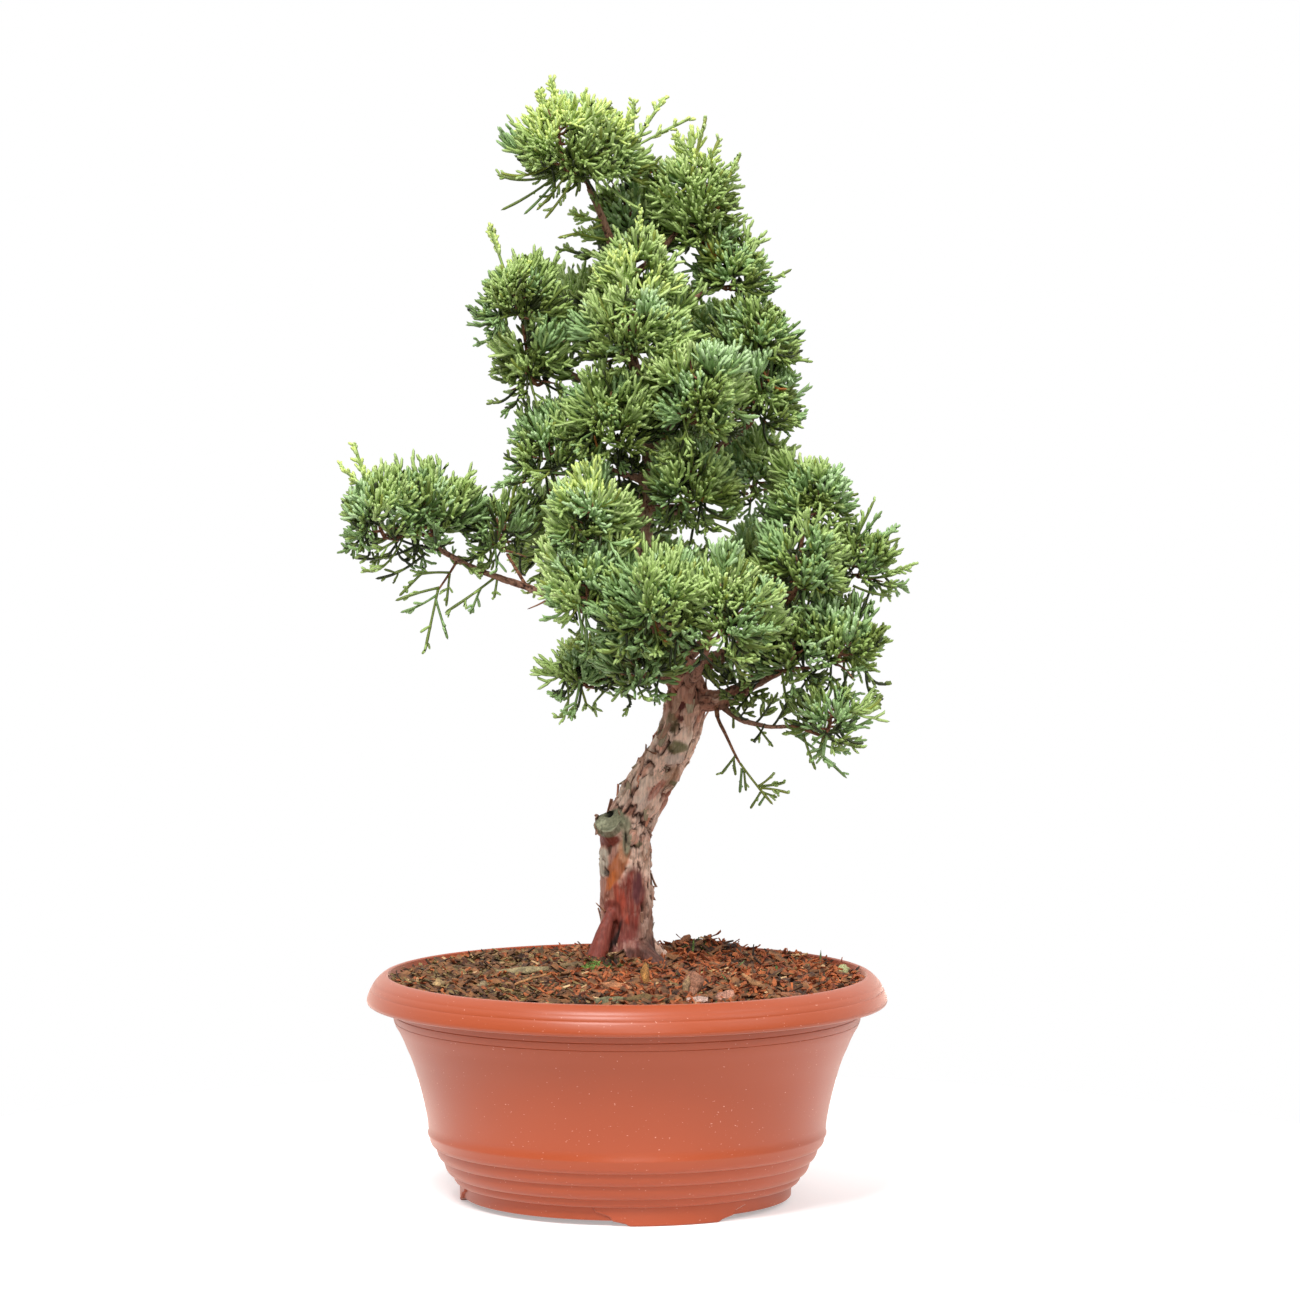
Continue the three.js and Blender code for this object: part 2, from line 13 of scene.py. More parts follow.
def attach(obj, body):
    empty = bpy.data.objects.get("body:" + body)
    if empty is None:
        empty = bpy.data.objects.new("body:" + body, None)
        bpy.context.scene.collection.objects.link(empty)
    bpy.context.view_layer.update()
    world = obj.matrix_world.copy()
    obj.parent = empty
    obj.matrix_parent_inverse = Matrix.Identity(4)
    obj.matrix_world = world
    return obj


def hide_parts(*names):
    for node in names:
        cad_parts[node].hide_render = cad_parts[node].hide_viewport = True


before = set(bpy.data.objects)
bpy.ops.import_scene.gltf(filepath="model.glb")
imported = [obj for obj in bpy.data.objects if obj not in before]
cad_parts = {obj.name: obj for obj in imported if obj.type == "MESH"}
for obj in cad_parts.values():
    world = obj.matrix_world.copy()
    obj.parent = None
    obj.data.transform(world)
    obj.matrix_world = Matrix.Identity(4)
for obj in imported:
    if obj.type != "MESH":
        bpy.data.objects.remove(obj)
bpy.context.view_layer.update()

# Camera, light and floor
# The plant was photographed on a white studio sweep from 3 m away with a long lens, a little from above.
# Light comes from all round, with a large soft source overhead in front and a weaker one from the right.

MM = 0.001
PHOTO_SIDE = 1300  # pixels
FOCAL_LENGTH = 6289  # pixels of the photograph
LOOKS_DOWN = 4.4  # degrees
SENSOR = 36.0
CAMERA_AT = (11, -3000, 496)

camera = bpy.data.objects.new("camera", bpy.data.cameras.new("camera"))
bpy.context.scene.collection.objects.link(camera)
bpy.context.scene.camera = camera
camera.location = [q * MM for q in CAMERA_AT]
camera.rotation_euler = (math.radians(90 - LOOKS_DOWN), 0, 0)
camera.data.sensor_width = SENSOR
camera.data.lens = FOCAL_LENGTH / PHOTO_SIDE * SENSOR
bpy.context.scene.view_settings.view_transform = "Standard"


def hue(code):
    """An sRGB hex colour as linear RGBA."""
    parts = [int(code[i : i + 2], 16) / 255 for i in (1, 3, 5)]
    linear = [c / 12.92 if c <= 0.04045 else ((c + 0.055) / 1.055) ** 2.4 for c in parts]
    return (*linear, 1.0)


def add(tree, kind, inputs=None, **settings):
    """Adds a node. Its settings go by name, and its inputs by name or number, each a value or a socket."""
    made = tree.nodes.new(kind)
    for name, value in settings.items():
        setattr(made, name, value)
    for key, value in (inputs or {}).items():
        if isinstance(value, bpy.types.NodeSocket):
            tree.links.new(value, made.inputs[key])
        else:
            made.inputs[key].default_value = value
    return made


def surface(name, inputs):
    """A material with one Principled shader, and its node tree."""
    made = bpy.data.materials.new(name)
    made.use_nodes = True
    shader = made.node_tree.nodes["Principled BSDF"]
    for key, value in inputs.items():
        shader.inputs[key].default_value = value
    return made, made.node_tree, shader


def place(name, mesh, materials):
    """A mesh as an object of the scene, at the origin."""
    made = bpy.data.objects.new(name, mesh)
    bpy.context.scene.collection.objects.link(made)
    for one in materials:
        made.data.materials.append(one)
    return made


def mesh_of(name, points, faces, smooth=True):
    """A mesh from points in metres and faces of any size."""
    made = bpy.data.meshes.new(name)
    made.from_pydata([tuple(p) for p in points], [], faces)
    made.validate()
    made.polygons.foreach_set("use_smooth", [smooth] * len(made.polygons))
    made.update()
    return made


# The studio is bright above and behind the plant, and darker behind the camera. The camera sees pure white.
world = bpy.data.worlds.new("studio")
bpy.context.scene.world = world
world.use_nodes = True
sky = world.node_tree
facing = add(sky, "ShaderNodeSeparateXYZ", {0: add(sky, "ShaderNodeTexCoord").outputs["Generated"]}).outputs
around = {"From Min": -0.7, "From Max": 0.5, "To Min": 0.08, "To Max": 0.95}
around = add(sky, "ShaderNodeMapRange", {"Value": facing["Y"], **around}).outputs["Result"]
above = {"From Min": 0.1, "From Max": 0.9, "To Min": 0.0, "To Max": 0.3}
above = add(sky, "ShaderNodeMapRange", {"Value": facing["Z"], **above}).outputs["Result"]
both = add(sky, "ShaderNodeMath", {0: around, 1: above}, operation="ADD").outputs[0]
seen = add(sky, "ShaderNodeLightPath").outputs["Is Camera Ray"]
strength = add(sky, "ShaderNodeMix", {"Factor": seen, "A": both}, data_type="FLOAT")
strength.inputs["B"].default_value = 1.0
background = sky.nodes["Background"]
background.inputs["Color"].default_value = (1.0, 1.0, 1.0, 1.0)
sky.links.new(strength.outputs["Result"], background.inputs["Strength"])

# Each light: how far round to the left and how high it stands, in degrees, then its strength and softness
LIGHTS = {"key": (18, 54, 3.1, 18), "right": (-62, 40, 0.6, 30), "fill": (-6, 18, 0.74, 30)}
for name, (turn, height, power, softness) in LIGHTS.items():
    light = bpy.data.objects.new(name, bpy.data.lights.new(name, "SUN"))
    bpy.context.scene.collection.objects.link(light)
    light.data.energy = power
    light.data.angle = math.radians(softness)
    light.rotation_euler = (math.radians(90 - height), 0, -math.radians(turn))

# The sweep's lit part is a round of this radius. Past it the camera sees the same white of the studio.
SWEEP_R = 0.42
SWEEP_SIDES = 96
edge = [2 * math.pi * i / SWEEP_SIDES for i in range(SWEEP_SIDES)]
sweep_white = {"Base Color": (0.8, 0.8, 0.8, 1), "Roughness": 1.0, "Specular IOR Level": 0.0}
sweep_white["Emission Color"] = (1, 1, 1, 1)
white_sweep, paper, paper_shader = surface("white_paper_sweep", sweep_white)
# Overexposed, as in the photograph: the camera sees it brighter than it lights the plant
glow = {"Value": add(paper, "ShaderNodeLightPath").outputs["Is Camera Ray"], "To Min": 0.12, "To Max": 0.36}
glow = add(paper, "ShaderNodeMapRange", glow).outputs["Result"]
paper.links.new(glow, paper_shader.inputs["Emission Strength"])
edge = [(SWEEP_R * math.cos(a), SWEEP_R * math.sin(a), 0) for a in edge]
round_floor = mesh_of("floor", edge, [tuple(range(SWEEP_SIDES))])
floor = place("floor", round_floor, [white_sweep])

# Bowl
# A round bonsai bowl, injection moulded in terracotta-coloured polypropylene: a wall of about 2 mm, a rolled
# lip, four convex ledges above the base, three low feet and four drain holes. Satin, with fine tool lines.

RIM_R = 125
RIM_Z = 109.6
WALL = 2.2
BASE_Z = 6  # underside of the base
FLOOR_Z = 8.4  # the bowl's floor inside
TURNS = 192


def ledge(low, high, count=6):
    """A convex quarter round that starts outwards at its low end and stands upright at its high end."""
    turns = [math.pi / 2 * i / (count - 1) for i in range(count)]
    wide, tall = high[0] - low[0], high[1] - low[1]
    return [(low[0] + wide * math.sin(a), high[1] - tall * math.cos(a)) for a in turns]


def groove(r, z, lean, depth=0.22, half=0.3):
    """A fine tool line across a wall, which leans outwards by so much for each millimetre up."""
    return [(r - lean * half, z - half), (r - depth, z), (r + lean * half, z + half)]


# Profile points: distance from the axis and height
base = [(0, BASE_Z), (75.0, BASE_Z), (75.3, 5.8), (75.6, 2.8), (75.8, 2.6), (78.6, 2.6), (78.9, 2.9)]
base += [(79.2, 9.1)]
ledges = ledge((81.0, 9.1), (83.7, 13.1)) + ledge((84.0, 13.3), (88.1, 20.1))
ledges += ledge((88.4, 20.3), (91.8, 26.5)) + ledge((92.1, 26.7), (95.0, 30.9), 5)
wall = [(95.8, 32.4), (95.9, 33.4), (95.5, 34.2), (95.8, 38), (96.4, 42), (97.4, 47), (98.7, 52.5)]
wall += [(100.4, 59), (102.1, 65), (103.9, 70), (105.7, 74), (107.5, 78.4), (109.4, 82.3), (111.2, 85.2)]
wall += groove(112.0, 87.4, 0.3) + groove(112.6, 91, 0.12) + [(112.9, 96), (113.1, 102), (113.6, 104.2)]
lip = [(115, 105.3), (117, 105.4), (118.8, 104.1), (120.4, 101.2), (121.6, 97.6), (122.2, 96), (122.9, 95.5)]
lip += [(124, 95.5), (124.7, 96), (RIM_R, 97), (124.9, 98), (124.3, 99.8), (123.7, 101.3)]
lip += groove(123.1, 102.5, -0.5, 0.16) + [(122.2, 104.2)] + groove(121.3, 105.5, -0.8, 0.14)
lip += [(119.8, 107.2), (118.4, 108.4), (117.2, 109.2), (116.2, RIM_Z), (115.4, RIM_Z), (114.9, 109.1)]
inside = [(114.6, 106), (111.4, 100), (110.6, 90), (108.9, 85)]
inside += [(r - WALL, z - 0.6) for r, z in reversed(wall[3:12])]
inside += [(92.6, 30), (88, 22), (82.4, 15), (78.5, 10.4), (77, 9), (75, FLOOR_Z), (0, FLOOR_Z)]
profile = base + ledges + wall + lip + inside


def turned(outline, count):
    """A closed outline from axis to axis, in millimetres, turned about Z. What it gives back is in metres."""
    points, rings = [], []
    for r, z in outline:
        rings.append(len(points))
        if r == 0:
            points.append((0, 0, z * MM))
            continue
        turns = [2 * math.pi * i / count for i in range(count)]
        points += [(r * MM * math.sin(a), -r * MM * math.cos(a), z * MM) for a in turns]
    faces = []
    for k, (low, high) in enumerate(zip(rings, rings[1:])):
        for i in range(count):
            j = (i + 1) % count
            if outline[k][0] == 0:
                faces.append((low, high + j, high + i))
            elif outline[k + 1][0] == 0:
                faces.append((low + i, low + j, high))
            else:
                faces.append((low + i, low + j, high + j, high + i))
    return points, faces


FOOT_TURNS = [math.radians(a) for a in (17, 137, 257)]  # from the front towards the right
FOOT_IN, FOOT_OUT = 74.7, 80.5
FOOT_TOP = 9.4
# Half of a foot's width in degrees, and how high its underside is there: the flanks rise in two steps
FOOT_FLANK = [(0, 0), (15.6, 0), (16.4, 0.35), (17.2, 1.1), (21.6, 2.4), (22.8, 4.6), (27.4, 6.6)]
FOOT_FLANK += [(28.6, 9.2)]


def foot(turn, start):
    """One foot: a strip of the foot ring with its corners rounded, its top sunk into the base."""
    half = [math.radians(a) for a, _ in FOOT_FLANK]
    turns = [-a for a in reversed(half[1:])] + [i * half[1] / 6 for i in range(-5, 6)] + half[1:]
    low = [z for _, z in reversed(FOOT_FLANK[1:])] + [0.0] * 11 + [z for _, z in FOOT_FLANK[1:]]
    points, faces = [], []
    for a, z in zip(turns, low):
        section = [(FOOT_IN, FOOT_TOP), (FOOT_IN, z + 0.5), (FOOT_IN + 0.5, z), (FOOT_OUT - 0.6, z)]
        section += [(FOOT_OUT, z + 0.6), (FOOT_OUT, FOOT_TOP), (FOOT_OUT - 1.5, FOOT_TOP + 0.3)]
        points += [(r * MM * math.sin(turn + a), -r * MM * math.cos(turn + a), h * MM) for r, h in section]
    n = len(section)
    for k in range(len(turns) - 1):
        for i in range(n):
            j = (i + 1) % n
            faces.append(tuple(start + q for q in (k * n + i, k * n + j, k * n + n + j, k * n + n + i)))
    faces.append(tuple(start + q for q in reversed(range(n))))
    faces.append(tuple(start + q for q in range(len(points) - n, len(points))))
    return points, faces


def polypropylene():
    """Moulded polypropylene: satin, evenly coloured, with flow marks that hardly show and a few pale scuffs.
    Dust from handling lies on it, which pales it where the eye looks along it."""
    looks = {"Roughness": 0.4, "IOR": 1.49, "Sheen Weight": 0.6, "Sheen Roughness": 0.36}
    looks["Sheen Tint"] = hue("#ffd9c8")
    made, tree, shader = surface("moulded_polypropylene", looks)
    place_on = add(tree, "ShaderNodeTexCoord").outputs["Object"]
    # Cloudy patches of about 60 mm
    cloud = add(tree, "ShaderNodeTexNoise", {"Vector": place_on, "Scale": 16.0, "Detail": 2.0})
    tint = {"Factor": cloud.outputs["Fac"], "A": hue("#a24520"), "B": hue("#ab4c28")}
    tint = add(tree, "ShaderNodeMix", tint, data_type="RGBA")
    # Scuffs: specks of about 0.8 mm, drawn out sideways, on a few spots only
    stretch = add(tree, "ShaderNodeMapping", {"Vector": place_on, "Scale": (1.0, 1.0, 2.2)})
    speck = {"Vector": stretch.outputs["Vector"], "Scale": 620.0, "Detail": 1.0}
    speck = add(tree, "ShaderNodeTexNoise", speck)
    rare = {"Value": speck.outputs["Fac"], "From Min": 0.745, "From Max": 0.79}
    rare = add(tree, "ShaderNodeMapRange", rare)
    scuff = {"Factor": rare.outputs["Result"], "A": tint.outputs["Result"], "B": hue("#d79a84")}
    scuff = add(tree, "ShaderNodeMix", scuff, data_type="RGBA")
    tree.links.new(scuff.outputs["Result"], shader.inputs["Base Color"])
    # The mould's spark-eroded grain of 0.4 mm
    grain = add(tree, "ShaderNodeTexNoise", {"Vector": place_on, "Scale": 2500.0, "Detail": 1.0})
    bump = add(tree, "ShaderNodeBump", {"Height": grain.outputs["Fac"], "Strength": 0.12, "Distance": 0.0002})
    tree.links.new(bump.outputs["Normal"], shader.inputs["Normal"])
    return made


DRAIN_R = 4
DRAIN_FROM_AXIS = 52
DRAIN_TURNS = [0.4 + i * math.pi / 2 for i in range(4)]

bowl_points, bowl_faces = turned(profile, TURNS)
bowl = place("bowl", mesh_of("bowl", bowl_points, bowl_faces), [polypropylene()])
drill_points, drill_faces = [], []
for turn in DRAIN_TURNS:
    pin_points, pin_faces = turned([(0, 2), (DRAIN_R, 2), (DRAIN_R, 12), (0, 12)], 24)
    start = len(drill_points)
    x, y = DRAIN_FROM_AXIS * MM * math.sin(turn), -DRAIN_FROM_AXIS * MM * math.cos(turn)
    drill_points += [(px + x, py + y, pz) for px, py, pz in pin_points]
    drill_faces += [tuple(start + q for q in face) for face in pin_faces]
drill = place("drill", mesh_of("drill", drill_points, drill_faces), [])
cut = bowl.modifiers.new("drain_holes", "BOOLEAN")
cut.object = drill
cut.operation = "DIFFERENCE"
cut.solver = "EXACT"


def settle(piece):
    """Turns a piece with modifiers into a plain mesh."""
    depsgraph = bpy.context.evaluated_depsgraph_get()
    plain = bpy.data.meshes.new_from_object(piece.evaluated_get(depsgraph), depsgraph=depsgraph)
    piece.modifiers.clear()
    piece.data = plain
    return piece


settle(bowl)
bpy.data.objects.remove(drill)
bowl_points = [v.co.copy() for v in bowl.data.vertices]
bowl_faces = [tuple(p.vertices) for p in bowl.data.polygons]
for turn in FOOT_TURNS:
    foot_points, foot_faces = foot(turn, len(bowl_points))
    bowl_points += foot_points
    bowl_faces += foot_faces
plastic = bowl.data.materials[0]
bowl.data = mesh_of("bowl", bowl_points, bowl_faces)
bowl.data.materials.append(plastic)
bowl.data.set_sharp_from_angle(angle=math.radians(38))
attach(bowl, "root")
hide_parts("pot")

# Soil
# Moist peat with coir fibre and bark mulch fills the bowl to just under its rim. It is heaped a little behind
# the trunk on the right. The body of it is one lumpy mesh, and the bits that lie loose on it are scattered.

SOIL_Z = 109.5
SOIL_DOWN = 1.6  # the lumpy mesh lies this far under the loose bits
# Heaps: x, y, half width, half depth and height
HEAPS = [(34, 62, 24, 16, 8.5), (72, 34, 24, 18, 3.6), (-62, 44, 30, 20, 2.6), (6, 8, 26, 14, 1.5)]
HEAPS += [(-13, 17, 17, 9, 6.0)]
soil_side = [(76.5, FLOOR_Z + 0.4), (80.8, 14.4), (86.6, 22), (91.2, 30), (93.2, 36), (95.0, 47), (98.0, 59)]
soil_side += [(103.3, 74), (107.6, 84.6), (109.7, 90)]
SOIL_RINGS = 72
SOIL_TURNS = 264
SOIL_R = 111.0


def soil_height(x, y):
    """The top of the soil's lumpy mesh in millimetres, over a point in millimetres."""
    r = math.hypot(x, y)
    height = SOIL_Z - SOIL_DOWN - 3.4 * min(1.0, max(0.0, (r - 82) / 26)) ** 1.5
    for hx, hy, wide, deep, tall in HEAPS:
        height += tall * math.exp(-(((x - hx) / wide) ** 2 + ((y - hy) / deep) ** 2) * 1.4)
    spot = Vector((x, y, 0))
    height += 1.5 * noise.noise(spot / 17) + 1.1 * noise.noise(spot / 6.5) + 0.7 * noise.noise(spot / 2.6)
    return height


soil_turns = np.linspace(0, 2 * math.pi, SOIL_TURNS, False)
soil_points = [(0, 0, FLOOR_Z + 0.4)]
for r, z in soil_side:
    soil_points += [(r * math.sin(a), -r * math.cos(a), z) for a in soil_turns]
for k in range(SOIL_RINGS, 0, -1):
    r = SOIL_R * k / SOIL_RINGS
    for a in soil_turns:
        x, y = r * math.sin(a), -r * math.cos(a)
        soil_points.append((x, y, soil_height(x, y)))
soil_points.append((0, 0, soil_height(0, 0)))
ring_count = len(soil_side) + SOIL_RINGS
soil_faces = []
for i in range(SOIL_TURNS):
    j = (i + 1) % SOIL_TURNS
    soil_faces.append((0, 1 + j, 1 + i))
    for k in range(ring_count - 1):
        low, high = 1 + k * SOIL_TURNS, 1 + (k + 1) * SOIL_TURNS
        soil_faces.append((low + i, low + j, high + j, high + i))
    last = 1 + (ring_count - 1) * SOIL_TURNS
    soil_faces.append((last + i, last + j, len(soil_points) - 1))


def peat():
    """Moist peat: dark brown crumbs of 1 to 3 mm with paler fibre between them, dull."""
    made, tree, shader = surface("moist_peat", {"Roughness": 0.9})
    place_on = add(tree, "ShaderNodeTexCoord").outputs["Object"]
    crumb = add(tree, "ShaderNodeTexNoise", {"Vector": place_on, "Scale": 420.0, "Detail": 4.0})
    tint = add(tree, "ShaderNodeValToRGB", {"Fac": crumb.outputs["Fac"]})
    tint.color_ramp.elements[0].position = 0.36
    tint.color_ramp.elements[0].color = hue("#24130b")
    tint.color_ramp.elements[1].position = 0.68
    tint.color_ramp.elements[1].color = hue("#7a4a2b")
    tree.links.new(tint.outputs["Color"], shader.inputs["Base Color"])
    bump = add(tree, "ShaderNodeBump", {"Height": crumb.outputs["Fac"], "Strength": 0.8, "Distance": 0.001})
    tree.links.new(bump.outputs["Normal"], shader.inputs["Normal"])
    return made


soil = place("soil_body", mesh_of("soil_body", [np.array(p) * MM for p in soil_points], soil_faces), [peat()])
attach(soil, "root")
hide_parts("soil")

# Mulch
# Loose bits lie all over the soil: peat crumbs, orange coir fibre, brown bark, pale slivers of wood, olive
# leaf litter on the left and specks of moss on the right. One scatter tree makes each kind at its own sizes.


def scatter_tree():
    """Bits with flat ends lie on a surface at random turns and tilts, then bend a little."""
    tree = bpy.data.node_groups.new("mulch_scatter", "GeometryNodeTree")
    tree.interface.new_socket("Geometry", in_out="OUTPUT", socket_type="NodeSocketGeometry")
    named = {}
    kinds = {"Ground": "Geometry", "Per square metre": "Float", "Length": "Float", "Width": "Float"}
    kinds |= {"Thickness": "Float", "Tilt": "Float", "Bend": "Float", "Rise": "Float", "Sides": "Int"}
    kinds |= {"Steps": "Int", "Cover": "String", "Seed": "Int", "Material": "Material"}
    for name, kind in kinds.items():
        kind = "NodeSocket" + kind
        named[name] = tree.interface.new_socket(name, in_out="INPUT", socket_type=kind).identifier
    given = add(tree, "NodeGroupInput").outputs
    cover = add(tree, "GeometryNodeInputNamedAttribute", {"Name": given["Cover"]}, data_type="FLOAT")
    many = {0: cover.outputs["Attribute"], 1: given["Per square metre"]}
    many = add(tree, "ShaderNodeMath", many, operation="MULTIPLY")
    points = {"Mesh": given["Ground"], "Density": many.outputs[0], "Seed": given["Seed"]}
    points = add(tree, "GeometryNodeDistributePointsOnFaces", points)
    bit = add(tree, "GeometryNodeMeshCylinder", {"Vertices": given["Sides"], "Side Segments": given["Steps"]})
    bit.inputs["Radius"].default_value = 0.5
    bit.inputs["Depth"].default_value = 1.0
    spread = add(tree, "FunctionNodeRandomValue", {2: 0.45, 3: 1.0, "Seed": given["Seed"]}, data_type="FLOAT")
    long = add(tree, "ShaderNodeMath", {0: spread.outputs[1], 1: given["Length"]}, operation="MULTIPLY")
    slim = add(tree, "FunctionNodeRandomValue", {2: 0.55, 3: 1.25, "Seed": 7}, data_type="FLOAT")
    wide = add(tree, "ShaderNodeMath", {0: slim.outputs[1], 1: given["Width"]}, operation="MULTIPLY")
    size = add(tree, "ShaderNodeCombineXYZ", {0: given["Thickness"], 1: wide.outputs[0], 2: long.outputs[0]})
    down = add(tree, "ShaderNodeMath", {0: given["Tilt"], 1: -1.0}, operation="MULTIPLY")
    lean = {2: down.outputs[0], 3: given["Tilt"], "Seed": 3}
    lean = add(tree, "FunctionNodeRandomValue", lean, data_type="FLOAT")
    level = add(tree, "ShaderNodeMath", {0: lean.outputs[1], 1: math.pi / 2}, operation="ADD")
    turn = {2: 0.0, 3: 2 * math.pi, "Seed": given["Seed"]}
    turn = add(tree, "FunctionNodeRandomValue", turn, data_type="FLOAT")
    spin = add(tree, "ShaderNodeCombineXYZ", {0: 0.0, 1: level.outputs[0], 2: turn.outputs[1]})
    lay = add(tree, "FunctionNodeEulerToRotation", {0: spin.outputs[0]})
    bits = {"Points": points.outputs["Points"], "Instance": bit.outputs["Mesh"]}
    bits |= {"Rotation": lay.outputs[0], "Scale": size.outputs[0]}
    bits = add(tree, "GeometryNodeInstanceOnPoints", bits)
    real = add(tree, "GeometryNodeRealizeInstances", {"Geometry": bits.outputs["Instances"]})
    where = add(tree, "GeometryNodeInputPosition").outputs[0]
    wave = add(tree, "ShaderNodeTexNoise", {"Vector": where, "Scale": 210.0, "Detail": 1.0})
    centred = {0: wave.outputs["Color"], 1: (0.5, 0.5, 0.45)}
    centred = add(tree, "ShaderNodeVectorMath", centred, operation="SUBTRACT")
    offset = add(tree, "ShaderNodeVectorMath", {0: centred.outputs[0]}, operation="SCALE")
    tree.links.new(given["Bend"], offset.inputs["Scale"])
    raised = add(tree, "ShaderNodeCombineXYZ", {2: given["Rise"]})
    moved = add(tree, "ShaderNodeVectorMath", {0: offset.outputs[0], 1: raised.outputs[0]}, operation="ADD")
    bent = add(tree, "GeometryNodeSetPosition", {"Geometry": real.outputs[0], "Offset": moved.outputs[0]})
    done = add(tree, "GeometryNodeSetMaterial", {"Geometry": bent.outputs[0], "Material": given["Material"]})
    add(tree, "NodeGroupOutput", {"Geometry": done.outputs[0]})
    return tree, named


def litter(name, dark, light, patch_mm=5.0):
    """Dry or moist plant matter, from a dark to a light colour in patches as large as one bit, dull."""
    made, tree, shader = surface(name, {"Roughness": 0.85})
    place_on = add(tree, "ShaderNodeTexCoord").outputs["Object"]
    patch = add(tree, "ShaderNodeTexNoise", {"Vector": place_on, "Scale": 1 / (patch_mm * MM), "Detail": 3.0})
    tint = add(tree, "ShaderNodeValToRGB", {"Fac": patch.outputs["Fac"]})
    tint.color_ramp.elements[0].position = 0.34
    tint.color_ramp.elements[0].color = hue(dark)
    tint.color_ramp.elements[1].position = 0.66
    tint.color_ramp.elements[1].color = hue(light)
    tree.links.new(tint.outputs["Color"], shader.inputs["Base Color"])
    fibre = add(tree, "ShaderNodeTexNoise", {"Vector": place_on, "Scale": 1600.0, "Detail": 1.0})
    bump = add(tree, "ShaderNodeBump", {"Height": fibre.outputs["Fac"], "Strength": 0.4, "Distance": 0.0004})
    tree.links.new(bump.outputs["Normal"], shader.inputs["Normal"])
    return made


def soft_step(value, low, high):
    """From 0 at low to 1 at high, smoothly."""
    t = np.clip((value - low) / (high - low), 0, 1)
    return t * t * (3 - 2 * t)


# The ground that bits lie on is the soil's top, with how much of each kind lies where
first_top = 1 + len(soil_side) * SOIL_TURNS
top_points = [np.array(p) * MM for p in soil_points[first_top:]]
top_faces = [tuple(q - first_top for q in face) for face in soil_faces if min(face) >= first_top]
ground = place("ground", mesh_of("ground", top_points, top_faces), [])
ground_x = np.array([p[0] for p in top_points]) / MM
ground_y = np.array([p[1] for p in top_points]) / MM
patchy = np.array([noise.noise(Vector((x / 16, y / 16, 3.0))) for x, y in zip(ground_x, ground_y)])
left_side = soft_step(-ground_x + 14 * patchy, 8, 46)
covers = {
    "everywhere": np.ones(len(top_points)),
    "left": 0.15 + left_side,
    "middle": np.clip((1 - left_side) * soft_step(patchy, -0.35, 0.15) + 0.12, 0, 1),
    "right": soft_step(ground_x + 10 * patchy, 20, 50) * soft_step(patchy, -0.05, 0.3) + 0.06,
    "cushion": soft_step(1.6 - np.hypot((ground_x + 17.5) / 3.4, (ground_y - 8) / 4.2), 0, 0.8),
    "moss": soft_step(1.5 - np.hypot((ground_x + 8) / 7, (ground_y - 8) / 5), 0, 0.8)
    + 0.25 * soft_step(1.5 - np.hypot((ground_x - 28) / 16, (ground_y - 52) / 10), 0, 0.8),
}
for name, values in covers.items():
    ground.data.attributes.new(name, "FLOAT", "POINT").data.foreach_set("value", values.astype(np.float32))

# Each kind: two colours, bits on a square metre, length, width, thickness, tilt, bend, rise, sides, steps and
# where it lies
MULCH = {
    "peat_crumbs": ("#1f110a", "#5c3621", 90000, 4.5, 3.2, 2.4, 80, 1.8, 0.6, 5, 1, "everywhere"),
    "coir_fibre": ("#632810", "#b4602f", 76000, 15, 1.2, 0.8, 36, 6.0, 1.4, 3, 5, "middle"),
    "coir_tufts": ("#5a250f", "#b56638", 46000, 9, 2.6, 1.2, 50, 5.0, 1.4, 5, 4, "middle"),
    "bark_bits": ("#371f11", "#91613b", 28000, 13, 4.2, 1.4, 32, 3.0, 1.5, 5, 3, "everywhere"),
    "leaf_litter": ("#3f2f18", "#927848", 74000, 14, 1.8, 0.8, 26, 3.0, 1.4, 3, 4, "left"),
    "pale_wood": ("#8f6a41", "#d2ae80", 3500, 12, 2.0, 1.0, 22, 2.0, 1.8, 4, 3, "everywhere"),
    "dark_twigs": ("#2a1910", "#5e4029", 6000, 15, 1.3, 1.2, 40, 2.4, 1.8, 4, 4, "everywhere"),
    "moss_specks": ("#3f5222", "#7f9650", 42000, 4.0, 0.9, 0.7, 75, 1.4, 1.6, 3, 2, "right"),
    "moss_dark": ("#222b10", "#566930", 1200000, 3.6, 0.8, 0.6, 75, 1.2, 1.2, 3, 2, "moss"),
    "moss_cushion": ("#486a26", "#8fae54", 3400000, 3.4, 0.7, 0.6, 70, 1.0, 1.8, 3, 2, "cushion"),
}
FIRST_MULCH_SEED = 40
mulch_tree, mulch_inputs = scatter_tree()
for number, (name, facts) in enumerate(MULCH.items()):
    dark, light, many, length, width, thick, tilt, bend, rise, sides, steps, cover = facts
    scatter = ground.modifiers.new(name, "NODES")
    scatter.node_group = mulch_tree
    values = {"Per square metre": float(many), "Length": length * MM, "Width": width * MM}
    values |= {"Thickness": thick * MM, "Tilt": math.radians(tilt), "Bend": bend * MM, "Rise": rise * MM}
    values |= {"Sides": sides, "Steps": steps, "Cover": cover, "Seed": FIRST_MULCH_SEED + number}
    values["Material"] = litter(name, dark, light)
    for key, value in values.items():
        scatter[mulch_inputs[key]] = value
    depsgraph = bpy.context.evaluated_depsgraph_get()
    bits = bpy.data.meshes.new_from_object(ground.evaluated_get(depsgraph), depsgraph=depsgraph)
    ground.modifiers.clear()
    piece = place(name, bits, [])
    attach(piece, "root")
bpy.data.objects.remove(ground)

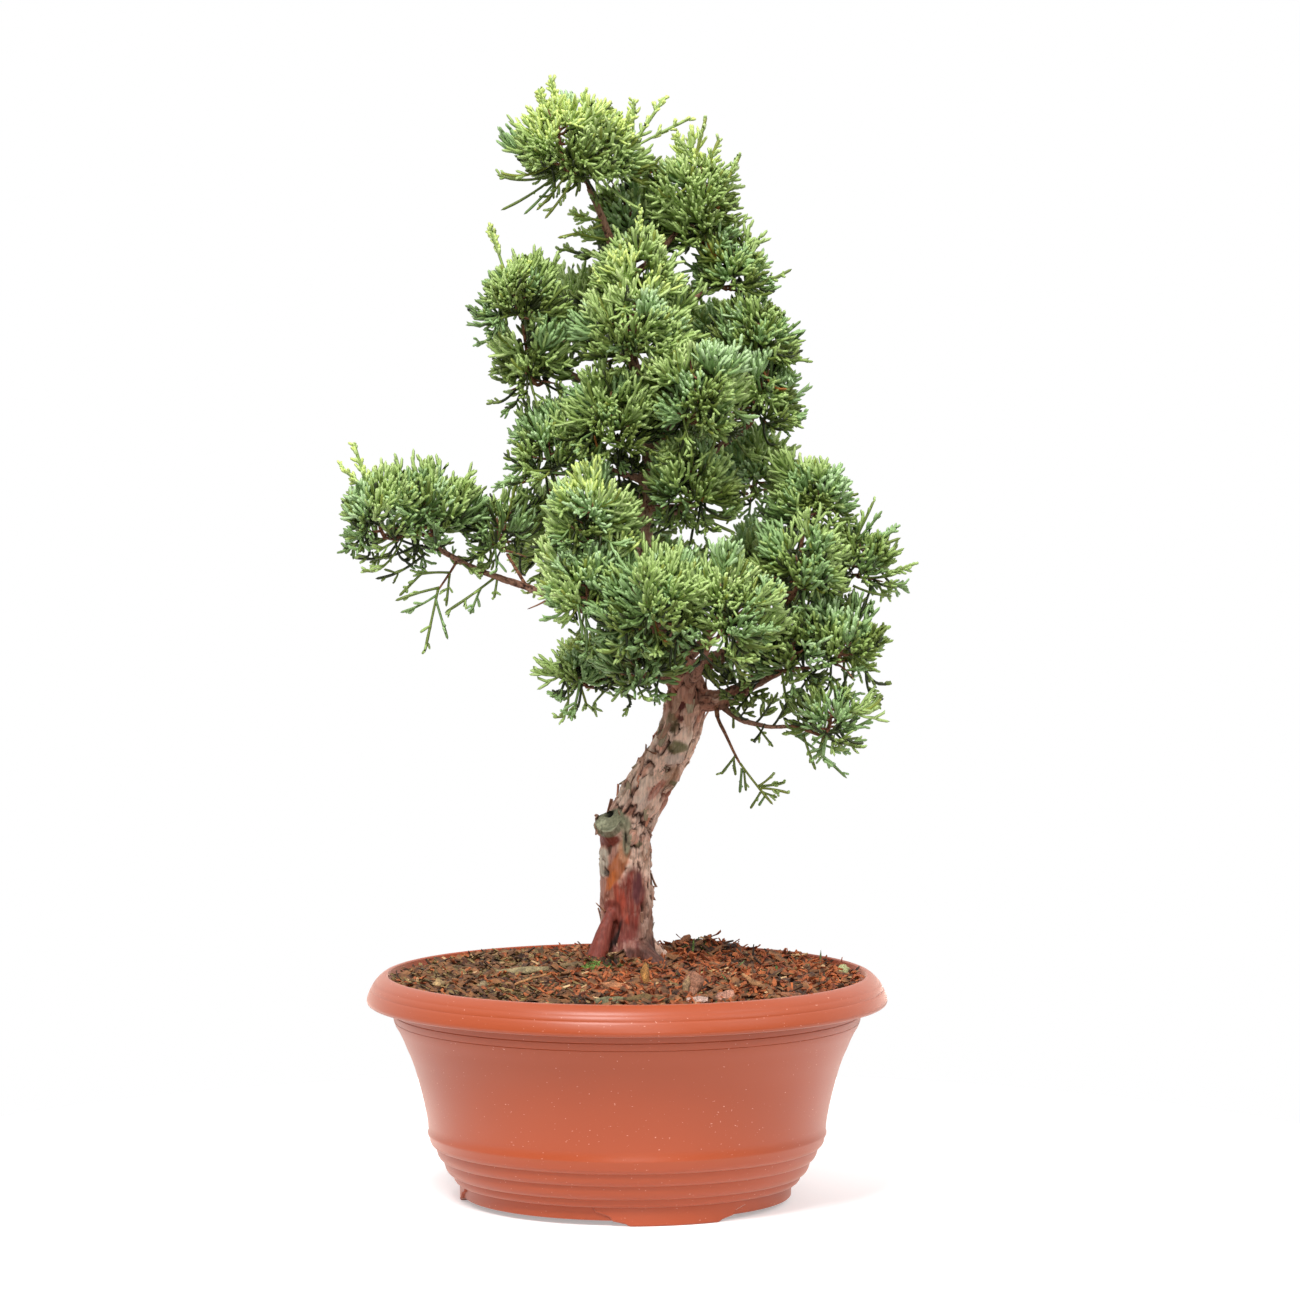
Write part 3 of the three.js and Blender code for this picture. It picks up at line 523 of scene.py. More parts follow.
# Larger pieces
# Slivers of wood, bark chunks, leaves, twigs and blades of grass that stand out one by one, as the photograph
# shows them. Each is a thin, pointed, slightly crumpled shell with both its sides, stuck in the mulch.


def shell(rows, columns, at, points_out, faces_out):
    """Adds a thin closed piece. at(t, s, under) is a point of its upper or under side, t along, s across."""
    start, each = len(points_out), rows * columns
    for under in (0, 1):
        for a in range(rows):
            points_out.extend(at(a / (rows - 1), 2 * b / (columns - 1) - 1, under) for b in range(columns))
    for a in range(rows - 1):
        for b in range(columns - 1):
            q = start + a * columns + b
            r = q + columns
            faces_out += [(q, q + 1, r + 1, r), (q + each, r + each, r + each + 1, q + each + 1)]
    edge = [*range(columns), *((a + 1) * columns - 1 for a in range(1, rows))]
    edge += [*range(each - 2, each - columns - 1, -1), *(a * columns for a in range(rows - 2, 0, -1))]
    for m, n in zip(edge, edge[1:] + edge[:1]):
        faces_out.append((start + n, start + m, start + m + each, start + n + each))


def facing_out(mesh):
    """Turns all faces of closed pieces outward."""
    turned_out = bmesh.new()
    turned_out.from_mesh(mesh)
    bmesh.ops.recalc_face_normals(turned_out, faces=turned_out.faces)
    turned_out.to_mesh(mesh)
    turned_out.free()


def colour_points(mesh, name, colours):
    """Stores a colour for each point of a mesh."""
    rgba = np.hstack([np.array(colours), np.ones((len(colours), 1))]).astype(np.float32)
    mesh.attributes.new(name, "FLOAT_COLOR", "POINT").data.foreach_set("color", rgba.ravel())


def split_wood():
    """Old wood, bark and leaves: each piece in its own colour, with light and dark fibres of 0.6 mm, dull."""
    made, tree, shader = surface("split_wood", {"Roughness": 0.8})
    own = add(tree, "ShaderNodeAttribute", attribute_name="piece_colour").outputs["Color"]
    place_on = add(tree, "ShaderNodeTexCoord").outputs["Object"]
    fibre = add(tree, "ShaderNodeTexNoise", {"Vector": place_on, "Scale": 1600.0, "Detail": 2.0})
    worn = {"Value": fibre.outputs["Fac"], "From Min": 0.35, "From Max": 0.65, "To Min": 0.5, "To Max": 1.2}
    worn = add(tree, "ShaderNodeMapRange", worn).outputs["Result"]
    mottled = add(tree, "ShaderNodeVectorMath", {0: own, "Scale": worn}, operation="SCALE")
    tree.links.new(mottled.outputs[0], shader.inputs["Base Color"])
    bump = add(tree, "ShaderNodeBump", {"Height": fibre.outputs["Fac"], "Strength": 0.5, "Distance": 0.0005})
    tree.links.new(bump.outputs["Normal"], shader.inputs["Normal"])
    return made


# x, y, length, width, thickness, turn from +X, rise, roll, how pointed, and colour
LARGE = [
    (-50, -8, 25, 4.0, 1.2, 4, 3, 55, 0.5, "#94845f"),
    (-49, -56, 24, 1.7, 1.4, -6, 19, 30, 0.3, "#b57f4e"),
    (-4, -76, 17, 4.0, 1.0, 5, -9, 50, 0.9, "#b97a50"),
    (9, -49, 12, 5.4, 0.9, 104, 82, 0, 0.8, "#a8753a"),
    (-7, -97, 16, 4.2, 1.3, 3, 2, 60, 0.5, "#7c7653"),
    (10, -98, 23, 4.4, 1.3, -3, -1, 58, 0.6, "#68502a"),
    (31, -81, 12.5, 10.5, 2.6, 84, 72, 0, 0.9, "#9c6a50"),
    (28, -82, 11, 4.0, 2.0, 66, 64, 0, 0.8, "#9a7a56"),
    (61, -69, 17, 3.4, 1.0, 8, -32, 45, 0.8, "#a5744a"),
    (46, -89, 9, 6.0, 2.4, 12, 10, 50, 0.5, "#a97762"),
    (33, -95, 10, 3.6, 1.8, -8, 2, 55, 0.4, "#b8988a"),
    (-102, 8, 6, 1.8, 1.2, 150, 62, 0, 0.7, "#5b3b28"),
    (-42, 58, 7, 2.4, 1.0, 70, 74, 0, 0.9, "#6b5236"),
    (61, 29, 9, 1.1, 1.0, 40, 84, 0, 0.8, "#2c2018"),
    (68, 39, 5, 1.2, 1.0, 160, 55, 0, 0.8, "#33261c"),
    (94, 40, 9, 0.9, 0.5, 60, 86, 0, 0.9, "#7a8c50"),
    (104, 14, 5.5, 5.0, 0.7, 100, 76, 0, 0.5, "#b4b682"),
    (32, 47, 9, 1.1, 0.6, 60, 83, 0, 0.9, "#66803c"),
    (72, 8, 5, 1.5, 0.6, 60, 80, 0, 0.9, "#6a8444"),
    (47, -40, 8, 1.1, 0.6, 150, 48, 0, 0.9, "#5c7536"),
    (55, 19, 5, 1.4, 0.6, 20, 40, 0, 0.9, "#7e9456"),
    (33, -27, 6, 1.0, 0.6, 200, 60, 0, 0.9, "#687f44"),
    (39, 76, 15, 4.2, 2.0, 10, -10, 50, 0.5, "#7d4a33"),
    (45, 48, 5, 1.6, 1.4, 0, 88, 0, 0.3, "#ac653e"),
    (51, 90, 8.5, 1.9, 1.2, 10, 8, 40, 0.5, "#bd8d5a"),
    (50, 58, 7, 3.6, 2.0, 0, 5, 50, 0.6, "#3a2a22"),
    (28, 60, 7, 4.0, 3.0, 30, 30, 40, 0.5, "#8f5a3a"),
    (23, 57, 6, 3.0, 2.0, 100, 20, 40, 0.5, "#8a5a36"),
    (-89, -42, 6, 3.6, 2.0, 0, 8, 50, 0.6, "#a5875c"),
    (-68, -53, 5, 4.0, 2.4, 40, 20, 50, 0.5, "#8a7656"),
    (-80, -60, 7, 3.4, 1.8, 10, 4, 50, 0.6, "#977046"),
    (-26, 71, 7, 2.4, 1.4, 20, 40, 30, 0.4, "#a5704a"),
    (-25, 8, 15, 2.6, 1.4, 4, -3, 45, 0.6, "#7f6644"),
    (2, 12, 12, 3.2, 1.6, -4, -4, 50, 0.7, "#8f6c40"),
    (-62, 38, 8, 2.2, 1.2, 15, 12, 40, 0.6, "#8a6a45"),
    (-74, 49, 7, 2.6, 1.4, 8, 10, 45, 0.5, "#4b3825"),
    (-53, 79, 9, 2.0, 1.2, 4, 6, 45, 0.5, "#9a6a45"),
    (-94, 2, 9, 2.2, 1.0, 12, 14, 40, 0.6, "#7a6038"),
    (-102, -10, 8, 2.6, 1.0, -12, -10, 40, 0.6, "#85683e"),
    (-78, 14, 10, 2.4, 1.0, -8, -8, 40, 0.6, "#6b5230"),
    (-65, -83, 13, 2.4, 1.2, 3, -3, 50, 0.6, "#74572f"),
    (-34, -92, 14, 2.6, 1.4, -4, 3, 50, 0.5, "#6e4c2c"),
    (43, -2, 8, 2.6, 1.6, 6, -12, 40, 0.7, "#c08c58"),
    (85, -42, 6, 3.4, 1.8, 10, 10, 45, 0.5, "#a8745a"),
    (77, -72, 10, 3.0, 1.6, 6, -4, 50, 0.5, "#8f5a3c"),
    (18, -2, 6, 1.6, 1.0, 30, 60, 0, 0.7, "#5a3a28"),
]
large_points, large_faces, large_colours = [], [], []
for x, y, long, wide, thick, turn, rise, roll, point, code in LARGE:
    turn, rise, roll = math.radians(turn), math.radians(rise), math.radians(roll)
    lengthwise = np.array([math.cos(turn) * math.cos(rise), math.sin(turn) * math.cos(rise), math.sin(rise)])
    level = np.array([-math.sin(turn), math.cos(turn), 0.0])
    raised = np.cross(lengthwise, level)
    sideways = level * math.cos(roll) + raised * math.sin(roll)
    upwards = np.cross(lengthwise, sideways)
    stands = 1.5 + 0.42 * (long * abs(math.sin(rise)) + wide * abs(math.sin(roll)))
    middle = np.array([x, y, soil_height(x, y) + stands])

    def at(t, s, under):
        """A point of the piece."""
        narrow = max(0.12, 1 - point * abs(2 * t - 1) ** 1.8)
        flat = (0.5 - under) * thick * (1 - 0.55 * s * s) * (1 - 0.4 * abs(2 * t - 1))
        torn = 1 + 0.7 * noise.noise(Vector((x + 3 * t, y + s, 2.0)) * 1.3)
        spot = lengthwise * (t - 0.5) * long + sideways * s * wide / 2 * narrow * torn
        crumple = noise.noise((Vector(spot) + Vector(middle)) / 2.6)
        return middle + spot + upwards * (flat + 0.22 * wide * crumple)

    first = len(large_points)
    shell(11, 5, at, large_points, large_faces)
    for spot in large_points[first:]:
        shade = 0.9 + 0.9 * noise.noise(Vector(spot) / 1.9)
        large_colours.append(np.array(hue(code)[:3]) * shade)
large_mesh = mesh_of("large_pieces", [p * MM for p in large_points], large_faces)
facing_out(large_mesh)
colour_points(large_mesh, "piece_colour", large_colours)
large = place("large_pieces", large_mesh, [split_wood()])
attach(large, "root")

# Trunk and boughs
# A young juniper's trunk: upright to a sawn stub, over to the right, then up through the crown. The bark is a
# pinkish tan that splits into long plates and flakes, except low in front, where it is smooth and dark red.


def curve_through(route, count):
    """A centripetal Catmull-Rom curve through [x, y, z, radius], sampled evenly in its own parameter."""
    p = np.array([q[:3] for q in route], float)
    r = np.array([q[3] for q in route], float)
    p = np.vstack([2 * p[0] - p[1], p, 2 * p[-1] - p[-2]])
    whole = np.linspace(0, len(route) - 1, count)
    k = np.minimum(whole.astype(int), len(route) - 2)
    t = (whole - k)[:, None]
    a, b, c, d = (p[k + i] for i in range(4))
    steps = [np.sqrt(np.linalg.norm(v - u, axis=1))[:, None] for u, v in ((a, b), (b, c), (c, d))]
    first = ((b - a) / steps[0] - (c - a) / (steps[0] + steps[1]) + (c - b) / steps[1]) * steps[1]
    last = ((c - b) / steps[1] - (d - b) / (steps[1] + steps[2]) + (d - c) / steps[2]) * steps[1]
    points = b + first * t + (3 * (c - b) - 2 * first - last) * t**2 + (2 * (b - c) + first + last) * t**3
    return points, r[k] + (r[k + 1] - r[k]) * t[:, 0]


def frames_along(points):
    """The tangent at each point of a curve, and two directions across it that turn as little as they can."""
    tangents = np.gradient(points, axis=0)
    tangents /= np.linalg.norm(tangents, axis=1)[:, None]
    side = np.array([0.0, 1.0, 0.0]) if abs(tangents[0][0]) > 0.9 else np.array([1.0, 0.0, 0.0])
    sides = []
    for tangent in tangents:
        side = side - tangent * (side @ tangent)
        side = side / np.linalg.norm(side)
        sides.append(side)
    sides = np.array(sides)
    return tangents, sides, np.cross(tangents, sides)


TRUNK_STEPS = 300
BOUGH_STEPS = 60
ROOT_STEPS = 24
FOOT_Y = 34
TRUNK = [
    [0.5, FOOT_Y, 101.5, 15],
    [-0.4, FOOT_Y, 126, 12.8],
    [-0.6, FOOT_Y - 1, 152, 12.4],
    [-0.2, FOOT_Y - 2, 175, 12.6],
    [8, 29, 193, 11.2],
    [18.5, 25, 210, 10],
    [26.5, 22, 227, 9.4],
    [28.6, 19, 243, 9.6],
    [22, 16, 266, 6.6],
    [8, 13, 308, 4.7],
    [9.5, 12, 340, 4],
    [11, 12, 372, 3.4],
    [2, 10, 406, 2.8],
    [-2, 10, 436, 2.5],
    [-8, 9, 461, 2.1],
    [-18, 5, 486, 1.5],
]
trunk_points, trunk_radii = curve_through(TRUNK, TRUNK_STEPS)


def trunk_at(height):
    """The trunk's middle at a height."""
    return trunk_points[np.argmin(np.abs(trunk_points[:, 2] - height))]


def bough_route(height, thick, tip, thin=1.3, sag=0.0, via=()):
    """A bough leaves the trunk at a height and rises or sags on its way to its tip."""
    start = trunk_at(height)
    if via:
        return [[*start, thick], *via, [*tip, thin]]
    middle = (start + np.array(tip)) / 2 - np.array([0, 0, sag])
    return [[*start, thick], [*middle, (thick + thin) / 2], [*tip, thin]]


LEFT_VIA = [(-13, 8, 281, 2.5), (-45, 3, 294, 1.9), (-72, 0, 304, 1.6)]
FRONT_LEFT_VIA = [(6, -2, 262, 3), (-3, -18, 279, 2.4)]
RIGHT_UPPER_VIA = [(50, 10, 264, 3.3), (62, 2, 273, 2.8)]
RIGHT_LOWER_VIA = [(45, 14, 240, 4.8), (57, 8, 247, 4)]
BOUGHS = {
    "left": bough_route(262, 3.6, (-94, -4, 316), via=LEFT_VIA),
    "front_left": bough_route(252, 4, (-10, -30, 291), 1.7, via=FRONT_LEFT_VIA),
    "front_centre": bough_route(264, 3.4, (14, -34, 276), 1.7, -4),
    "front_right": bough_route(246, 3.4, (38, -28, 268), 1.7, 2),
    "low_left": bough_route(249, 2.6, (2, 2, 255), 1.4, 1),
    "right_upper": bough_route(252, 4.6, (73, -8, 286), 2, via=RIGHT_UPPER_VIA),
    "right_lower": bough_route(240, 5.6, (68, -4, 253), 2.4, via=RIGHT_LOWER_VIA),
    "mid_left": bough_route(346, 2.4, (-14, 2, 354), sag=1),
    "mid_right": bough_route(330, 2.6, (42, 30, 338), sag=3),
    "upper_left": bough_route(384, 2.8, (-30, -1, 399), sag=2),
    "right_shoulder": bough_route(338, 3, (52, 6, 368), 1.6, 1),
    "centre_right": bough_route(362, 2.2, (24, -20, 376), sag=1),
    "upper_right": bough_route(408, 2.2, (38, 13, 438), sag=2),
    "apex_right": bough_route(440, 2, (27, 15, 468), sag=2),
    "back_low": bough_route(264, 3.2, (14, 46, 282), 1.6, -2),
    "back_low_right": bough_route(256, 3, (52, 44, 284), 1.6),
    "back_low_left": bough_route(286, 2.8, (-22, 36, 304), 1.5),
    "back_middle": bough_route(350, 2.4, (18, 40, 366)),
    "back_upper": bough_route(402, 2.2, (-12, 34, 408)),
    "lower_right": [(44, 12, 239, 1.8), (52, 6, 232.5, 1.6), (66, -4, 229, 1.3), (78, -12, 229.5, 1.1)],
}
# The stub of a leader that was sawn off, then the roots: a strand on the left in front, one that spreads to
# the right, two at the back and the foot of the trunk itself
STUB = [(-1, 32, 164, 8), (-5, 27, 173, 7.6), (-9.7, 19.4, 182, 6.8)]
STRAND = [(-7.5, 23.5, 137, 2.4), (-9.8, 21.8, 130.5, 3.3), (-11.8, 20.4, 124.5, 4.1), (-13.4, 19, 119, 4.7)]
STRAND += [(-15.2, 17.6, 113, 4.9), (-16.8, 16, 105, 4.6)]
ROOTS = [
    STRAND,
    [(4, 27, 121, 5.0), (9, 23, 115, 5.2), (14.5, 19.5, 110.5, 4.6), (20, 15, 105, 3.6)],
    [(6, 40, 122, 6), (14, 46, 112, 5.4), (22, 52, 104, 4.0)],
    [(-6, 40, 122, 6), (-12, 47, 112, 5.2), (-18, 54, 104, 4.0)],
    [(0, 28, 120, 8), (0, 25, 110, 7.4), (0, 23, 102, 6)],
]


def limb_mesh(points, radii, sides, points_out, faces_out):
    """Adds a closed tube round a curve, in millimetres."""
    _, across, along = frames_along(points)
    turns = np.linspace(0, 2 * np.pi, sides, False)
    start = len(points_out)
    for p, r, u, v in zip(points, radii, across, along):
        points_out.extend(p + r * (math.cos(a) * u + math.sin(a) * v) for a in turns)
    for k in range(len(points) - 1):
        for i in range(sides):
            j = (i + 1) % sides
            low, high = start + k * sides, start + (k + 1) * sides
            faces_out.append((low + i, low + j, high + j, high + i))
    faces_out.append(tuple(start + i for i in reversed(range(sides))))
    faces_out.append(tuple(len(points_out) - sides + i for i in range(sides)))


wood_curves = {"trunk": (trunk_points, trunk_radii)}
for name, route in BOUGHS.items():
    wood_curves[name] = curve_through(route, BOUGH_STEPS)
root_curves = [curve_through(route, ROOT_STEPS) for route in [STUB, *ROOTS]]
wood_points, wood_faces = [], []
for points, radii in wood_curves.values():
    limb_mesh(points, radii, 24 if radii[0] > 8 else 12, wood_points, wood_faces)
for points, radii in root_curves:
    limb_mesh(points, radii, 18, wood_points, wood_faces)
rough_points = [p * MM for p in wood_points]
wood = place("trunk_and_boughs", mesh_of("trunk_and_boughs", rough_points, wood_faces), [])
VOXEL = 0.7 * MM
fused = wood.modifiers.new("fused", "REMESH")
fused.mode = "VOXEL"
fused.voxel_size = VOXEL
fused.use_smooth_shade = True
eased = wood.modifiers.new("eased", "SMOOTH")
eased.factor = 0.5
eased.iterations = 5
settle(wood)

# The nearest place on a limb's middle, for each point of the bark
middles, middle_radii, lengths, limb_frames = [], [], [], []
for points, radii in [*wood_curves.values(), *root_curves]:
    middles.append(points)
    middle_radii.append(radii)
    lengths.append(np.concatenate([[0], np.cumsum(np.linalg.norm(np.diff(points, axis=0), axis=1))]))
    limb_frames.append(frames_along(points))
middles = np.vstack(middles)
middle_radii = np.concatenate(middle_radii)
lengths = np.concatenate(lengths)
tangents, across, along = (np.vstack([f[i] for f in limb_frames]) for i in range(3))


def vectors(mesh, what):
    """The places, co, or the normals, normal, of a mesh's points."""
    flat = np.zeros(len(mesh.vertices) * 3)
    mesh.vertices.foreach_get(what, flat)
    return flat.reshape(-1, 3)


bark = vectors(wood.data, "co") / MM
AT_ONCE = 4000  # points, to save memory
nearest = np.zeros(len(bark), int)
for start in range(0, len(bark), AT_ONCE):
    part = bark[start : start + AT_ONCE]
    gaps = np.linalg.norm(part[:, None] - middles[None], axis=2) - middle_radii[None]
    nearest[start : start + AT_ONCE] = gaps.argmin(1)
off = bark - middles[nearest]
run = lengths[nearest] + (off * tangents[nearest]).sum(1)
round_x = (off * across[nearest]).sum(1)
round_y = (off * along[nearest]).sum(1)
thick = middle_radii[nearest]

# Patches on the front: x, z, half width, half height, lean, colour, cover, smoothness and relief in mm
PATCHES = [
    (-9.0, 150, 5.5, 38, 0.0, "#8e5442", 0.85, 0.8, 0.0),  # smooth red-brown down the left
    (1.5, 140, 8.8, 21, 0.1, "#7d3228", 1.0, 1.0, -0.3),  # bare dark red bark low in front
    (-1.0, 122, 10, 13, 0.0, "#6e3129", 0.9, 1.0, 0.0),
    (5.2, 148, 3.4, 9, 0.0, "#5b3439", 0.8, 1.0, 0.0),
    (-3.0, 142, 2.6, 14, -0.3, "#9c412d", 0.8, 1.0, 0.0),
    (-4.2, 159, 4.8, 11, 0.4, "#a8623c", 1.0, 0.8, -0.2),  # orange where a plate came off
    (-2.0, 166, 3.4, 6, 0.0, "#bd8b6a", 0.9, 0.6, 0.0),
    (-7.6, 152, 2.2, 6, 0.3, "#bb642e", 0.9, 0.7, 0.0),
    (-9.3, 171, 6.5, 3.6, 0.0, "#8c463a", 1.0, 1.0, 0.0),
    (-11.9, 160, 3.4, 8, 0.0, "#b9af9d", 1.0, 0.3, 0.6),  # a grey plate at the left edge, and its splits
    (-10.0, 156, 1.1, 3.2, 0.0, "#2c1f19", 1.0, 0.0, -1.2),
    (-8.9, 166, 1.5, 3.0, 0.3, "#4b3628", 0.9, 0.0, -0.7),
    (-0.4, 174, 2.8, 12, 0.0, "#8d8a70", 1.0, 0.3, 1.0),  # grey-green wood beside the cut, and its split
    (-1.0, 171, 0.8, 6, 0.05, "#2e2a20", 1.0, 0.0, -1.8),
    (9.5, 129, 4.6, 15, 0.0, "#80594a", 0.8, 0.2, 0.0),  # brown bark over the root
    (15.5, 113, 11.5, 11, 0.0, "#3d241b", 1.0, 0.6, 0.0),  # dark root on the right
    (4.0, 112, 10.0, 8, 0.0, "#472218", 0.95, 0.8, 0.0),
    (7.6, 135, 1.1, 6, 0.0, "#241612", 1.0, 0.0, -1.4),
    # Painted shade in the gap beside the strand
    (-5.6, 126, 1.5, 8, 0.0, "#1d1210", 1.0, 0.0, -2.0),  # the gap beside the strand
    (22.0, 229, 3.5, 6, 0.0, "#6f6444", 0.8, 0.0, 0.3),  # lichen and knots on the upper trunk
    (24.0, 217, 5.5, 3.4, 0.2, "#6b6a45", 0.9, 0.0, 0.3),
    (22.6, 211, 5.8, 3.2, 0.4, "#cdb5a6", 1.0, 0.2, 0.7),
    (25.4, 237, 2.6, 2.0, 0.0, "#5f2420", 1.0, 0.6, -1.2),
    (26.2, 232, 2.2, 1.8, 0.0, "#54241e", 1.0, 0.6, -1.0),
    (20.7, 202, 5.0, 6.5, 0.4, "#9b7050", 0.7, 0.0, 0.6),
    (19.7, 206, 1.7, 1.5, 0.0, "#432820", 1.0, 0.0, -1.0),
    (23.0, 198, 2.8, 2.4, 0.0, "#6c6c48", 0.9, 0.0, 0.2),
    (8.0, 190, 2.8, 5.0, 0.5, "#d6bbab", 0.9, 0.2, 0.6),
    (5.9, 169.5, 2.0, 1.8, 0.0, "#7d7a5c", 0.9, 0.2, 0.5),
    (14.0, 196, 2.6, 6.0, 0.7, "#b86f5c", 0.8, 0.4, -0.3),
    (20.5, 190, 4.5, 8.0, 0.5, "#b77058", 0.8, 0.4, 0.0),
]
CELL_GRID = 24
# For each cell: where its middle is, its tone and the way that its plate leans
CELLS = np.random.default_rng(5).random((CELL_GRID, CELL_GRID, CELL_GRID, 7))


def cells_at(spots):
    """Scattered cells: how far spots are from their cell's edge, how high its plate stands there, and its
    tone."""
    corner = np.floor(spots).astype(int)
    nearest = np.full(len(spots), 9.0)
    second = nearest.copy()
    away = np.zeros_like(spots)
    own = np.zeros((len(spots), 4))
    for step in itertools.product((-1, 0, 1), repeat=3):
        cell = corner + step
        facts = CELLS[tuple((cell % CELL_GRID).T)]
        gap = spots - cell - facts[:, :3]
        far = np.linalg.norm(gap, axis=1)
        closer = far < nearest
        second = np.where(closer, nearest, np.minimum(second, far))
        nearest = np.where(closer, far, nearest)
        away[closer] = gap[closer]
        own[closer] = facts[closer, 3:]
    return second - nearest, (away * (2 * own[:, 1:] - 1)).sum(1), own[:, 0]


def wander(spot):
    """A smooth drift of a spot, the same on every run, which noise.noise_vector isn't."""
    shifts = (Vector((0, 0, 0)), Vector((9.3, 4.1, 0)), Vector((2.7, 0, 8.9)))
    return Vector([noise.noise(spot + shift) for shift in shifts])


PLATE = 6.4  # width of a plate of bark
PLATE_LONG = 2.9  # how many times longer it is
CHIPS = 2.6  # how many times smaller the chips on it are
x, y, z = bark.T
front = soft_step(FOOT_Y - y, -3, 3)
spots = np.zeros((len(bark), 3))
grain = np.zeros(len(bark))
cloudy = np.zeros(len(bark))
for i in range(len(bark)):
    if thick[i] < 1.0:
        continue
    around_limb = Vector((round_x[i], round_y[i], run[i] / PLATE_LONG))
    spot = around_limb / (PLATE * min(1.0, 0.35 + thick[i] / 14))
    spot += 0.5 * wander(spot * 1.2) + 0.22 * wander(spot * 3.3)
    spots[i] = spot
    grain[i] = noise.noise(Vector((round_x[i] / 1.2, round_y[i] / 1.2, run[i] / 8.0)))
    cloudy[i] = noise.noise(Vector(bark[i]) / 6.5) + 0.5 * noise.noise(Vector(bark[i]) / 2.8)
plate_edge, plate_lean, plate_tone = cells_at(spots)
chip_edge, chip_lean, _ = cells_at(spots * CHIPS)
smooth = np.zeros(len(bark))
raised = np.zeros(len(bark))
covered = []
for px, pz, wide, tall, lean, code, cover, smoothness, relief in PATCHES:
    across_patch = (x - px - lean * (z - pz) + 0.8 * cloudy) / wide
    up_patch = (z - pz + 1.5 * cloudy) / tall
    inside = soft_step(1 - np.hypot(across_patch, up_patch), 0.0, 0.3) * front * (thick > 3)
    smooth += (smoothness - smooth) * inside
    raised += relief * inside
    covered.append(inside * cover)
strand_points = curve_through(STRAND, ROOT_STEPS)[0]
strand_gap = np.full(len(bark), 99.0)
low_down = z < 146
strand_gap[low_down] = np.linalg.norm(bark[low_down][:, None] - strand_points[None], axis=2).min(1)
on_strand = soft_step(6.0 - strand_gap, 0, 1.2)
smooth = np.maximum(smooth, on_strand)
# Cracks open between some plates only. Each plate is tilted, so that one of its sides stands out over the
# next
open_crack = soft_step(cloudy, -0.35, 0.25)
crack = (1 - soft_step(plate_edge, 0.015, 0.06 + 0.13 * open_crack)) * (0.3 + 0.7 * open_crack)
chip = 1 - soft_step(chip_edge, 0.0, 0.15)
relief = 1.2 * (plate_tone - 0.5) + 1.7 * plate_lean + 0.25 * chip_lean - 0.1 * chip - 1.1 * crack
relief = np.clip(relief, -2.2, 1.9)
size = np.clip(thick / 9, 0.1, 1.0)
height = size * ((1 - smooth) * relief + (0.22 - 0.1 * smooth) * grain + 0.35 * cloudy) + raised
normals = vectors(wood.data, "normal")
moved = bark + normals * height[:, None]

# The stub is sawn flat, and new wood has grown round the cut in two lobes with a notch above them
CUT_AT = np.array([-9.0, 20.6, 180.4])
CUT_FACES = np.array([-0.35, -0.66, 0.664])
cut_right = np.array([0.883, -0.468, 0.0])
cut_up = np.cross(CUT_FACES, cut_right)
from_cut = moved - CUT_AT
beyond = from_cut @ CUT_FACES
cut_u, cut_v = from_cut @ cut_right, from_cut @ cut_up
from_axis = np.hypot(cut_u, cut_v)
CUT_R = 8.4
on_cut = (from_axis < CUT_R) & (beyond > 0) & (beyond < 9)
left_lobe = np.exp(-((cut_u + 3.0) ** 2 + (cut_v + 1.0) ** 2) / 9)
right_lobe = np.exp(-((cut_u - 2.4) ** 2 + (cut_v - 0.8) ** 2) / 12)
notch = np.exp(-(((cut_u + 1.4) / 1.7) ** 2 + ((cut_v - 5.4) / 2.2) ** 2))
rim = np.exp(-(((from_axis - 6.4) / 0.9) ** 2)) * soft_step(1.5 - cut_v, 0, 3)
face = 1.0 * left_lobe + 0.8 * right_lobe + 0.6 * rim - 3.2 * notch + 0.25 * cloudy
moved[on_cut] += ((face - beyond)[:, None] * CUT_FACES)[on_cut]
algae = soft_step(8.8 - from_axis, 0, 1.2) * soft_step(beyond, -4.0, -2.2) * (beyond < 9)
wood.data.vertices.foreach_set("co", (moved * MM).ravel())

bark_colour = np.tile(np.array(hue("#eec6b0")[:3]), (len(bark), 1))


def paint(share, code):
    """Lays a colour over part of the bark."""
    bark_colour[:] += (np.array(hue(code)[:3]) - bark_colour) * np.clip(share, 0, 1)[:, None]


paint(soft_step(plate_tone, 0.35, 0.9), "#e6c6b2")
paint(soft_step(cloudy, 0.15, 0.5) * 0.6, "#d2866a")
paint(soft_step(-cloudy, 0.25, 0.6) * 0.45, "#a98568")
# Painted highlight on the raised parts of the plates, and painted shade in their hollows
paint(soft_step(relief, 0.45, 1.2) * 0.55, "#ead2bf")
paint(soft_step(-relief, 0.4, 1.2) * 0.6, "#8f5a47")
paint(soft_step(grain, 0.2, 0.5) * 0.3, "#f0dfd0")
paint(soft_step(-grain, 0.2, 0.5) * 0.22, "#8a5b47")
inner = soft_step(z, 222, 238) * (0.75 - 0.3 * soft_step(z, 285, 315))
paint(inner * (1 - 0.6 * soft_step(relief, 0.4, 1.4)), "#8e4a2e")
paint(soft_step(-thick, -6.5, -3.0) * 0.8, "#8f6753")
# Cracks and chip edges go near black: partly their own dark colour, partly painted shade where the bark lies
# low
paint(np.maximum(crack, 0.42 * chip) * soft_step(-relief, -0.6, 0.5), "#2f1c15")
for inside, patch_facts in zip(covered, PATCHES):
    mottled = inside * (1 - 0.35 * np.abs(grain)) * (1 - 0.5 * crack * (1 - smooth))
    paint(mottled, patch_facts[5])
paint(front * soft_step(x, 3, 8) * soft_step(127 - z, 0, 6) * 0.8, "#4a2b22")
paint(on_strand, "#743429")
